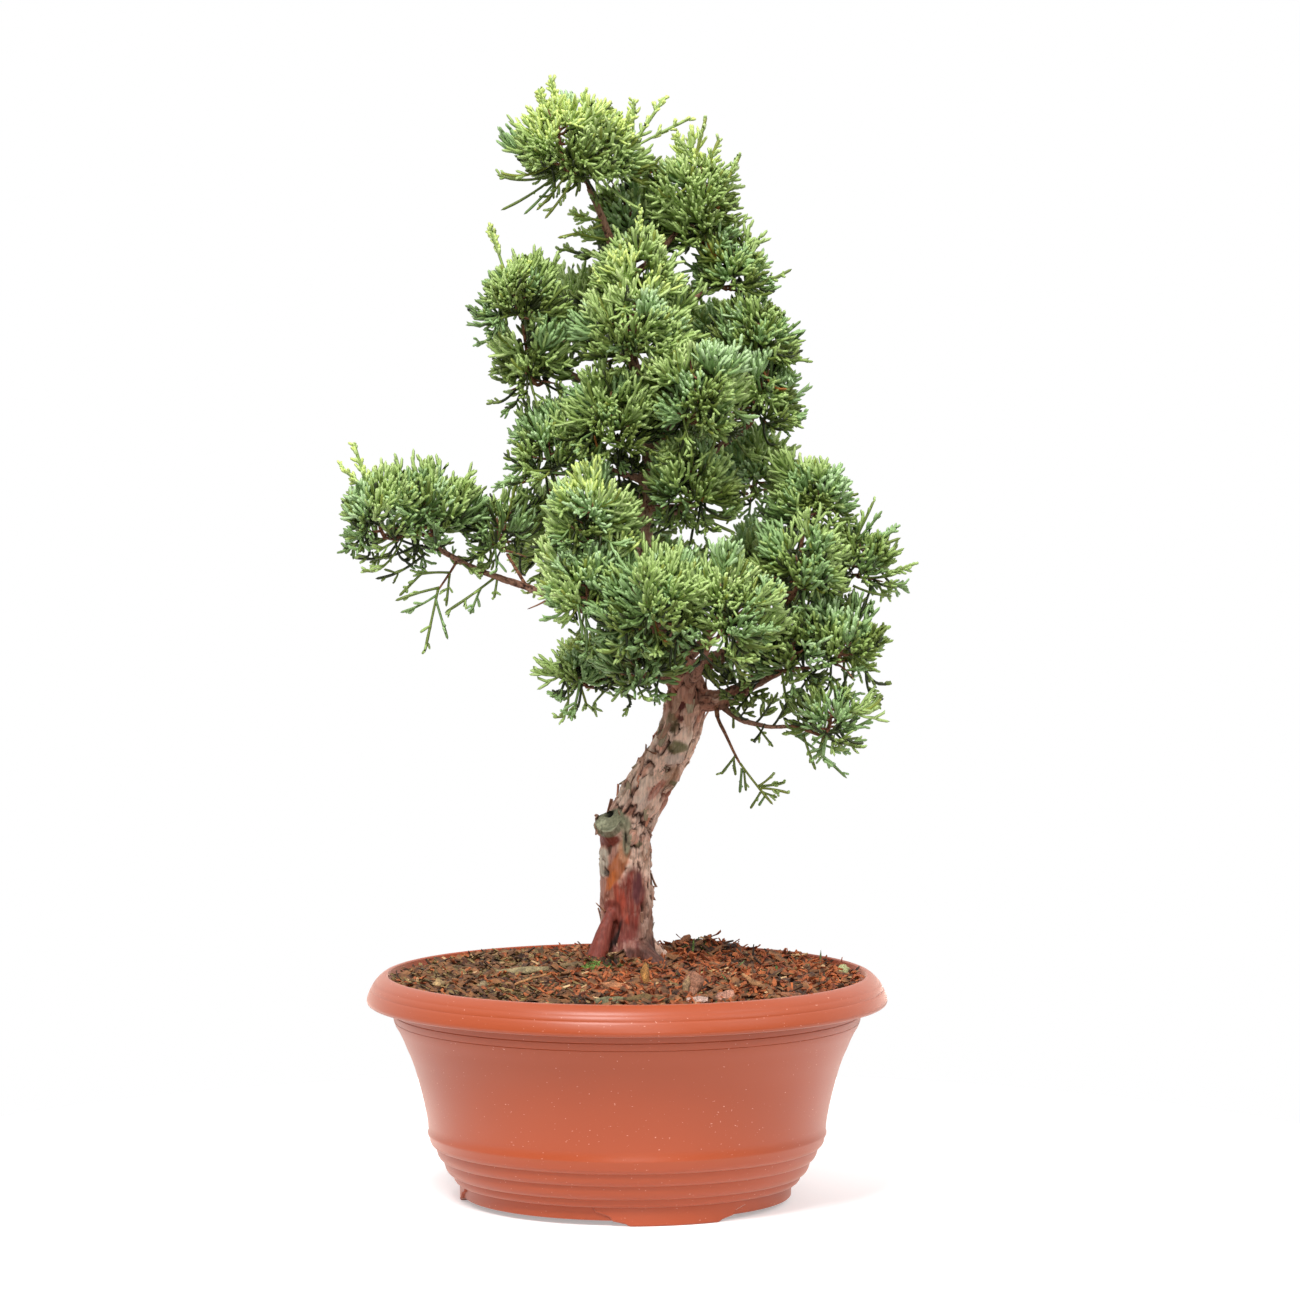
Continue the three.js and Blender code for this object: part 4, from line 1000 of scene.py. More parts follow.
# Painted shade in the gap beside the strand, low in front
shade_beside_strand = soft_step(strand_gap, 4.9, 6.0) * soft_step(7.4 - strand_gap, 0, 1.0)
paint(shade_beside_strand * (x > -10) * soft_step(135 - z, 0, 5) * 0.9, "#241512")
paint(smooth * soft_step(np.abs(grain), 0.25, 0.6) * 0.28, "#9c5f50")
paint(algae, "#86846a")
paint(algae * left_lobe, "#a6a68a")
paint(algae * soft_step(rim, 0.4, 0.9) * 0.5, "#b0a890")
paint(algae * soft_step(0.35 - left_lobe - right_lobe, 0, 0.2) * (from_axis < 5.5) * 0.5, "#575c46")
paint(algae * soft_step(np.abs(grain), 0.15, 0.45) * 0.6, "#615f49")
paint(algae * soft_step(np.sin(from_axis * 3.2 + 2 * cloudy), 0.2, 0.9) * 0.5, "#6d6f57")
# Painted shade: the notch above the lobes goes near black
paint(algae * notch * 1.6, "#1e1b15")
colour_points(wood.data, "bark_colour", bark_colour)
wood.data.attributes.new("bark_smooth", "FLOAT", "POINT").data.foreach_set("value", smooth.astype(np.float32))
wood.data.update()


def juniper_bark():
    """Juniper bark: dry, dull plates with split edges, and a slight gloss where the young bark is bare. Its
    colours lie on the mesh, plate by plate, and fine streaks run over them."""
    made, tree, shader = surface("juniper_bark", {"Specular IOR Level": 0.3})
    place_on = add(tree, "ShaderNodeTexCoord").outputs["Object"]
    # The colours on the mesh hold painted highlights and painted shade as well as the bark's own colours
    plates = add(tree, "ShaderNodeAttribute", attribute_name="bark_colour").outputs["Color"]
    bare = add(tree, "ShaderNodeAttribute", attribute_name="bark_smooth").outputs["Fac"]
    # Streaks along the wood, 1 mm wide and 6 mm long
    stretch = add(tree, "ShaderNodeMapping", {"Vector": place_on, "Scale": (1.0, 1.0, 0.16)})
    streak = {"Vector": stretch.outputs["Vector"], "Scale": 950.0, "Detail": 3.0}
    streak = add(tree, "ShaderNodeTexNoise", streak)
    dark = {"Value": streak.outputs["Fac"], "From Min": 0.3, "From Max": 0.62, "To Min": 0.8, "To Max": 1.24}
    dark = add(tree, "ShaderNodeMapRange", dark).outputs["Result"]
    worn = add(tree, "ShaderNodeVectorMath", {0: plates, "Scale": dark}, operation="SCALE")
    tree.links.new(worn.outputs[0], shader.inputs["Base Color"])
    gloss = add(tree, "ShaderNodeMapRange", {"Value": bare, "To Min": 0.86, "To Max": 0.58})
    tree.links.new(gloss.outputs["Result"], shader.inputs["Roughness"])
    bump = add(tree, "ShaderNodeBump", {"Height": streak.outputs["Fac"], "Strength": 0.5, "Distance": 0.0007})
    tree.links.new(bump.outputs["Normal"], shader.inputs["Normal"])
    return made


BARK = juniper_bark()
wood.data.materials.append(BARK)
wood.data.polygons.foreach_set("use_smooth", [True] * len(wood.data.polygons))
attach(wood, "root")
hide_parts("trunk", *(f"bough_{name}" for name in BOUGHS))

# Bark flakes
# Old plates of dry bark curl off the trunk and hang on by one end. Each is a thin shell, held at its root.

FLAKES = 130
FLAKE_THICK = 0.4
random = np.random.default_rng(5)
loose_bark = np.flatnonzero((thick > 6) & (smooth < 0.15) & (z > 118) & (z < 246) & (relief > 0.1))
flake_points, flake_faces, flake_colours = [], [], []
DRY = ["#c09680", "#d2b09a", "#a87f6a", "#c98a70", "#a39379"]
for i in random.choice(loose_bark, FLAKES, replace=False):
    out, up = normals[i], tangents[nearest[i]] * random.choice([-1, 1])
    side = np.cross(up, out)
    long, wide = random.uniform(3.5, 8.0), random.uniform(2.0, 4.4)
    stands, curl = random.uniform(0.2, 0.8) * long * 0.32, random.uniform(-0.5, 0.7)
    slant = random.uniform(-0.4, 0.4)

    def at(t, s, under):
        """A point of the flake."""
        across_flake = side * (s * wide / 2 * (1 - 0.45 * t * t) + slant * long * t)
        off_trunk = stands * t**1.6 + curl * s * s * (0.4 + t) - 0.5 * (1 - t) - under * FLAKE_THICK
        jag = 0.6 * noise.noise(Vector((i, 3 * s, under)) * 1.7) * t
        return moved[i] + up * (long * (t - 0.25) + jag) + across_flake + out * off_trunk

    shell(4, 3, at, flake_points, flake_faces)
    dry = np.array(hue(random.choice(DRY))[:3])
    # Each flake's under side is painted at under half its colour, as painted shade
    flake_colours += [dry] * 12 + [dry * 0.45] * 12
flakes_mesh = mesh_of("bark_flakes", [p * MM for p in flake_points], flake_faces, smooth=False)
facing_out(flakes_mesh)
colour_points(flakes_mesh, "bark_colour", flake_colours)
flakes_mesh.attributes.new("bark_smooth", "FLOAT", "POINT")
flakes = place("bark_flakes", flakes_mesh, [BARK])
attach(flakes, "root")

# Shoots
# Juniper shoots are cords clad in scale leaves, 1.2 to 1.9 mm thick, that fork all round and end in blunt
# tips. Each mass of foliage is a stem through its lobes, twigs that fan out of it, and sprays of cords.

HANGING = [(43.5, 6, 232, 1.0), (47, 1, 225, 0.85), (51.5, -1, 215.5, 0.75), (54.5, -1, 210, 0.6)]
DOWN_LEFT = [(-84.5, -5, 302.5, 0.6), (-90.3, -7.5, 294, 0.5)]
LOW_LOBE = [(-88, -10, 293, 17)]
RIGHT_LOBES = [(80, -20, 306, 23), (87, 0, 336, 22), (110, 4, 308, 17)]
# A lobe is x, y, z and radius. The stem runs through the lobes from the tip of a bough, from a height on the
# trunk, or from a share of the way along a bough. One that is given under "stem" runs that way instead.
MASSES = {
    "apex_left": {"from": "trunk", "lobes": [(-29, -4, 506, 24), (-11, 3, 502, 22)]},
    "apex_right": {"from": "apex_right", "lobes": [(36, 16, 466, 17), (32, 18, 484, 20)]},
    "upper_left": {"from": "upper_left", "lobes": [(-43, -5, 402, 20), (-50, -9, 434, 21)]},
    "upper_centre": {"at": 418, "lobes": [(4, -26, 419, 26), (4, -8, 444, 21)]},
    "centre_right": {"from": "centre_right", "lobes": [(32, -36, 388, 26)]},
    "centre_left": {"at": 374, "lobes": [(-6, -26, 378, 23)]},
    "upper_right": {"from": "upper_right", "lobes": [(49, 14, 446, 19)]},
    "right_shoulder": {"from": "right_shoulder", "lobes": [(60, 10, 386, 22), (60, 6, 414, 20)]},
    "mid_left": {"from": "mid_left", "lobes": [(-33, -5, 361, 24)]},
    "mid_centre": {"at": 333, "lobes": [(29, -24, 346, 21)]},
    "mid_right": {"from": "mid_right", "lobes": [(60, 36, 349, 22)]},
    "left_tip": {"from": "left", "lobes": [(-92, -4, 332, 23), (-115, -8, 330, 22)]},
    "left_inner": {"branch": "left", "along": 0.52, "thick": 1.0, "lobes": [(-58, 4, 322, 20)]},
    "left_hanging": {"branch": "left", "along": 0.85, "thick": 0.7, "lobes": LOW_LOBE, "stem": DOWN_LEFT},
    "front_left": {"from": "front_left", "lobes": [(-17, -43, 298, 23), (-18, -40, 329, 23)]},
    "front_centre": {"from": "front_centre", "lobes": [(13, -58, 292, 27)]},
    "front_low": {"branch": "front_centre", "along": 0.6, "lobes": [(6, -40, 264, 20)]},
    "front_right": {"from": "front_right", "lobes": [(43, -50, 288, 27)]},
    "low_left": {"from": "low_left", "lobes": [(-19, -4, 257, 19)]},
    "right_upper": {"from": "right_upper", "lobes": RIGHT_LOBES},
    "right_lower": {"from": "right_lower", "lobes": [(76, -16, 266, 19), (99, -14, 270, 22)]},
    "lower_right": {"from": "lower_right", "lobes": [(94, -18, 234, 18)]},
    "hanging_twig": {"branch": "right_lower", "along": 0.28, "lobes": [(63, -2, 204, 13)], "stem": HANGING},
    "back_low": {"from": "back_low", "lobes": [(12, 68, 292, 26)]},
    "back_low_right": {"from": "back_low_right", "lobes": [(64, 58, 300, 24)]},
    "back_low_left": {"from": "back_low_left", "lobes": [(-34, 50, 318, 25)]},
    "back_middle": {"from": "back_middle", "lobes": [(20, 60, 378, 26)]},
    "back_upper": {"from": "back_upper", "lobes": [(-22, 46, 424, 25)]},
    "back_high": {"at": 412, "lobes": [(38, 48, 412, 22)]},
    "back_top": {"at": 458, "lobes": [(2, 32, 470, 21)]},
}
STEM_R = 1.4
LEADER_R = 1.1
TWIG_R = 0.75
USUAL_R = 23  # radius of a lobe
AXES = 44  # sprays on a lobe of that size
SIDES = 10  # side shoots on a spray
CLUBS = 2  # short last shoots on a side shoot
SHARED = 3.0  # how far sprays reach past the wall between two masses
LOW = 0.5  # how far under its middle the stem passes through a lobe, as a share of its radius
TWIGS = 10  # twigs on the leader of a lobe
INNER = 12  # short sprays in the shade inside a lobe
MELT = 5.0  # neighbouring lobes run together over about this length
UNDER = -0.3  # a spray whose direction is lower than this hangs under its lobe
UP = np.array([0.0, 0.0, 1.0])
LEVEL = np.array([1.0, 1.0, 0.0])
FULL_TURN = 6.28
NEXT_TURN = 2.4  # from one shoot on a stem to the next, in radians


def unit(v):
    """Vectors of length 1."""
    return v / np.maximum(np.linalg.norm(v, axis=-1, keepdims=True), 1e-9)


def bent(a, b, c, t):
    """Points on a curve from a to c that is drawn towards b, and its direction there."""
    t = t[..., None]
    point = a * (1 - t) ** 2 + b * 2 * t * (1 - t) + c * t**2
    return point, unit((b - a) * (1 - t) + (c - b) * t)


def crosswise(way):
    """Two directions across each of some directions."""
    steady = np.where(np.abs(way[..., 2:]) > 0.85, np.array([1.0, 0.0, 0.0]), UP)
    u = unit(np.cross(steady, way))
    return u, np.cross(way, u)


class Cords:
    """Closed round tubes gathered into one mesh, with a colour for each."""

    def __init__(self):
        self.points = []
        self.triangles = []
        self.colours = []
        self.count = 0
        self.size = 0

    def grow(self, a, b, c, radii, share, sides, colour=0):
        """Tubes along curves a, b, c. radii is the widest of each, and share how wide each ring is."""
        many, rings = len(a), len(share)
        if not many:
            return
        radii = np.broadcast_to(radii, many)
        t = np.append(np.linspace(0, 1, rings + 1)[:-1], 1.0)
        t[rings - 1] = 0.5 * (t[rings - 1] + 1.0)
        point, way = bent(a[:, None], b[:, None], c[:, None], np.broadcast_to(t, (many, rings + 1)))
        u, v = crosswise(way)
        turns = np.linspace(0, 2 * np.pi, sides, False)
        reach = (radii[:, None] * np.array(share))[:, :, None, None]
        round_it = np.cos(turns)[:, None] * u[:, :rings, None] + np.sin(turns)[:, None] * v[:, :rings, None]
        ring = (point[:, :rings, None] + reach * round_it).reshape(many, -1, 3)
        faces = []
        for k in range(rings - 1):
            for i in range(sides):
                j = (i + 1) % sides
                low, high = k * sides, (k + 1) * sides
                faces += [(low + i, low + j, high + j), (low + i, high + j, high + i)]
        top = (rings - 1) * sides
        faces += [(top + i, top + (i + 1) % sides, rings * sides) for i in range(sides)]
        faces += [(0, i + 1, i) for i in range(1, sides - 1)]
        each = rings * sides + 1
        starts = self.count + each * np.arange(many)
        self.points.append(np.concatenate([ring, point[:, -1:]], 1).reshape(-1, 3))
        self.triangles.append((np.array(faces)[None] + starts[:, None, None]).reshape(-1, 3))
        self.colours.append(np.repeat(np.broadcast_to(colour, many), len(faces)))
        self.count += each * many
        self.size += len(faces) * many

    def absorb(self, other):
        """Takes in the tubes of another."""
        self.points += other.points
        self.triangles += [t + self.count for t in other.triangles]
        self.colours += other.colours
        self.count += other.count
        self.size += other.size

    def mesh(self, name):
        """All of the tubes as one mesh in metres."""
        points = np.vstack(self.points) * MM
        triangles = np.vstack(self.triangles)
        made = bpy.data.meshes.new(name)
        made.vertices.add(len(points))
        made.vertices.foreach_set("co", points.astype(np.float32).ravel())
        made.loops.add(triangles.size)
        made.loops.foreach_set("vertex_index", triangles.astype(np.int32).ravel())
        made.polygons.add(len(triangles))
        made.polygons.foreach_set("loop_start", np.arange(0, triangles.size, 3, dtype=np.int32))
        made.polygons.foreach_set("material_index", np.concatenate(self.colours).astype(np.int32))
        made.polygons.foreach_set("use_smooth", np.ones(len(triangles), bool))
        made.update(calc_edges=True)
        return made


# Greens for whole sprays, from painted shade, dark and olive inside the crown, to painted light on sprays
# that face up, with yellow-green on new leaves, the brown of dead tips, and a bluish bloom on grown ones
GREENS = ["#2e3711", "#708138", "#99b261", "#b0c87a", "#c8dc90", "#d3e482", "#8f9a42", "#a8682f"]
GREENS += ["#738f4f", "#98b878", "#b8d49c"]
greens = []
for number, code in enumerate(GREENS):
    green_material, _, _ = surface(f"scale_leaves_{number}", {"Base Color": hue(code), "Roughness": 0.5})
    greens.append(green_material)
# For each tone of spray, the colours of its axis, its side shoots and its last shoots
TONES = [(0, 0, 0), (0, 0, 1), (0, 1, 1), (0, 1, 2), (1, 2, 3), (6, 3, 3), (6, 3, 4), (2, 4, 5), (7, 6, 1)]
DEAD = len(TONES) - 1
DEAD_SHARE = 0.012
# The same tones with a bluish bloom
TONES += [(0, 0, 0), (0, 0, 8), (0, 8, 8), (0, 8, 9), (8, 9, 9), (8, 9, 10), (9, 9, 10), (9, 10, 10)]
TONES = np.array(TONES)

cell_centres = np.array([lobe[:3] for mass in MASSES.values() for lobe in mass["lobes"]], float)
cell_radii = np.array([lobe[3] for mass in MASSES.values() for lobe in mass["lobes"]], float)
cell_masses = np.array([name for name, mass in MASSES.items() for _ in mass["lobes"]])


def free_reach(aim, name, centre, radius):
    """How far each direction runs from a lobe's centre until it is past the flat wall to another mass."""
    others = cell_masses != name
    gap = cell_centres[others] - centre
    towards = aim @ gap.T
    room = (gap**2).sum(1) - cell_radii[others] ** 2 + radius**2 + 2 * SHARED * np.linalg.norm(gap, axis=1)
    return np.where(towards > 0, room / np.maximum(2 * towards, 1e-6), 1e6).min(1)


def skin_reach(aim, centre, radius):
    """How far each direction runs from a lobe's centre to the crown's skin, where near lobes run together."""
    reach = np.full(len(aim), float(radius))
    for _ in range(5):
        spots = centre + aim * reach[:, None]
        depth = cell_radii - np.linalg.norm(spots[:, None] - cell_centres[None], axis=2)
        reach += MELT * np.log(np.exp(np.minimum(depth, 30) / MELT).sum(1))
    bumps = [noise.noise(Vector(spot) / 15) + 0.6 * noise.noise(Vector(spot) / 7) for spot in spots]
    return np.minimum(reach, radius * 1.3) * (1 + 0.26 * np.array(bumps))


def in_shade(points, centre):
    """How far points lie in the gap below or behind another lobe than their own, from 0 to 1."""
    others = np.linalg.norm(cell_centres - centre, axis=1) > 1
    gap = cell_centres[others][None] - points[:, None]
    depth = cell_radii[others] - np.linalg.norm(gap, axis=2)
    return (soft_step(depth, -10, 2) * np.clip(unit(gap) @ LIGHT_FROM, 0, 1)).max(1)


def clear_of_wood(points):
    """How far points are from the nearest limb's bark."""
    return (np.linalg.norm(points[:, None] - middles[None], axis=2) - middle_radii[None]).min(1)


def stem_route(mass):
    """A stem goes on from its bough's end, or leaves the trunk or a bough, and runs through the lobes."""
    if "from" in mass:
        points, radii = wood_curves[mass["from"]]
        way = unit(points[-1] - points[-2])
        start = [[*(points[-1] - way), radii[-1]], [*(points[-1] + 3 * way), radii[-1] * 0.95]]
    elif "branch" in mass:
        points, _ = wood_curves[mass["branch"]]
        start = [[*points[round(mass["along"] * (len(points) - 1))], mass.get("thick", STEM_R)]]
    else:
        start = [[*trunk_at(mass["at"]), STEM_R]]
    if "stem" in mass:
        return start[:1] + mass["stem"]
    thin = min(1.1, start[-1][3] * 0.8)
    low = [(x, y, z - LOW * r) for x, y, z, r in mass["lobes"]]
    return start + [[*p, thin - 0.2 * i] for i, p in enumerate(low)]


CROWN_MIDDLE = np.array([5.0, 8.0, 340.0])


def leader_and_twigs(foot, centre, radius, outward, random):
    """A lobe's leader rises from the stem. Twigs leave it all the way up: level at first, then upwards."""
    top = centre + radius * (0.38 * UP + 0.2 * outward)
    knee = (foot + top) / 2 + radius * 0.12 * outward - UP * 0.1 * radius
    up_it = np.linspace(0.04, 0.9, TWIGS)
    starts = bent(foot[None], knee[None], top[None], up_it)[0]
    turn = random.random() * FULL_TURN + np.arange(TWIGS) * NEXT_TURN + random.normal(0, 0.25, TWIGS)
    level = np.stack([np.cos(turn), np.sin(turn), np.zeros(TWIGS)], 1)
    rise = np.radians(-14 + 74 * up_it + random.normal(0, 7, TWIGS))[:, None]
    long = (radius * (0.74 - 0.34 * up_it) * random.uniform(0.85, 1.1, TWIGS))[:, None]
    ends = starts + (level * np.cos(rise) + UP * np.sin(rise)) * long
    return (foot, knee, top), starts, starts + level * 0.55 * long - UP * 0.06 * long, ends


def over_sphere(count, random):
    """Directions spread evenly over a sphere, each nudged a little."""
    k = np.arange(count) + 0.5
    up = 1 - 2 * k / count
    turn = k * math.pi * (3 - math.sqrt(5)) + random.random() * FULL_TURN
    flat = np.sqrt(1 - up**2)
    made = np.stack([flat * np.cos(turn), flat * np.sin(turn), up], 1)
    return unit(made + random.normal(0, 0.12, made.shape))


def grow_sprays(cords, a, b, c, tone, full, random, centre=None, patch=0.0, reach=6.0):
    """Sprays along curves a, b, c. full is from slender, 0, to dense, 1. With a centre, the shoots of a spray
    end side by side on the round shell about it, within patch of the spray's tip, and point the way that it
    does. Without one, side shoots about as long as reach stand off the whole of it and turn up."""
    many = len(a)
    if not many:
        return
    length = np.linalg.norm(c - a, axis=1)
    colours = TONES[tone]
    cord = (0.6 + 0.12 * full) * random.uniform(0.92, 1.08, many)
    axis_share = [1.15, 1.0, 0.95, 1.0, 0.95, 1.05, 1.1, 1.2, 1.0]
    cords.grow(a, b, c, cord, axis_share, 4, colours[:, 0])
    order = np.broadcast_to(np.arange(SIDES), (many, SIDES))
    if centre is None:
        t = 0.30 + 0.64 * (order + random.uniform(-0.3, 0.3, (many, SIDES))) / (SIDES - 1)
        roll = order * math.pi + random.normal(0, 0.45, (many, SIDES)) + random.random((many, 1)) * FULL_TURN
    else:
        nth = SIDES - order - 0.45 + random.uniform(-0.3, 0.3, (many, SIDES))
        across_patch = patch * np.sqrt(nth / SIDES)
        t = 1 - (2.2 * across_patch + 3.0) / length[:, None]
        roll = order * NEXT_TURN + random.normal(0, 0.2, (many, SIDES)) + random.random((many, 1)) * FULL_TURN
    t = np.clip(t, 0.12, 0.94)
    point, way = bent(a[:, None], b[:, None], c[:, None], t)
    tip_way = np.broadcast_to(unit(c - b)[:, None], way.shape)
    if centre is None:
        u, v = crosswise(way)
        out = u * np.cos(roll)[..., None] + v * np.sin(roll)[..., None]
        lean = np.radians(random.normal(34, 6, (many, SIDES)))[..., None]
        side = (reach * random.uniform(0.7, 1.15, (many, SIDES)) * (1.15 - 0.75 * t))[..., None]
        end = point + (way * np.cos(lean) + out * np.sin(lean) + UP * 0.16) * side
    else:
        u, v = crosswise(unit(c - centre)[:, None])
        out = u * np.cos(roll)[..., None] + v * np.sin(roll)[..., None]
        shell = np.linalg.norm(c - centre, axis=1)[:, None] - random.gamma(1.8, 1.3, (many, SIDES))
        shell += np.where(random.random((many, SIDES)) < 0.14, random.uniform(1.5, 6.0, (many, SIDES)), 0)
        end = centre + unit(c[:, None] + out * across_patch[..., None] - centre) * shell[..., None]
    chord = np.linalg.norm(end - point, axis=2)
    drawn = end - (0.42 * tip_way - 0.12 * out) * chord[..., None]
    if centre is None:
        drawn = (point + end) / 2 + (0.12 * out - 0.06 * UP) * chord[..., None]
    keep = (random.random((many, SIDES)) < (0.2 + 0.8 * full)[:, None]) & (chord > 1.5)
    who = np.broadcast_to(np.arange(many)[:, None], (many, SIDES))[keep]
    side_a, side_b, side_c = point[keep], drawn[keep], end[keep]
    side_cord = (0.6 + 0.2 * full[who]) * random.uniform(0.92, 1.08, len(who))
    cords.grow(side_a, side_b, side_c, side_cord, [0.75, 0.92, 1.1, 1.0], 4, colours[who, 1])
    count = len(side_a)
    t = np.linspace(0.42, 0.74, CLUBS)[None] + random.uniform(-0.1, 0.1, (count, CLUBS))
    point, way = bent(side_a[:, None], side_b[:, None], side_c[:, None], t)
    roll = np.arange(CLUBS)[None] * 2.6 + random.random((count, 1)) * FULL_TURN
    u, v = crosswise(way)
    aside = u * np.cos(roll)[..., None] + v * np.sin(roll)[..., None]
    chord = np.linalg.norm(side_c - side_a, axis=1)[:, None]
    club = np.clip(chord * (1 - t) * random.uniform(0.8, 1.15, (count, CLUBS)) + 1.6, 2.6, 8.0)[..., None]
    end = point + (way * 0.92 + aside * 0.36) * club
    drawn = point + (way * 0.38 + aside * 0.28) * club
    keep = random.random((count, CLUBS)) < (0.12 + 0.86 * full[who])[:, None]
    pick = np.broadcast_to(np.arange(count)[:, None], (count, CLUBS))[keep]
    thick = (0.66 + 0.28 * full[who[pick]]) * random.uniform(0.9, 1.1, len(pick))
    cords.grow(point[keep], drawn[keep], end[keep], thick, [0.7, 1.0, 0.85], 3, colours[who[pick], 2])


# Masses that are see-through in the photograph: how many sprays, and how full they are, beside the others
THIN = {"left_inner": (1.1, 0.5), "left_hanging": (0, 0), "hanging_twig": (0, 0), "lower_right": (1.0, 0.65)}
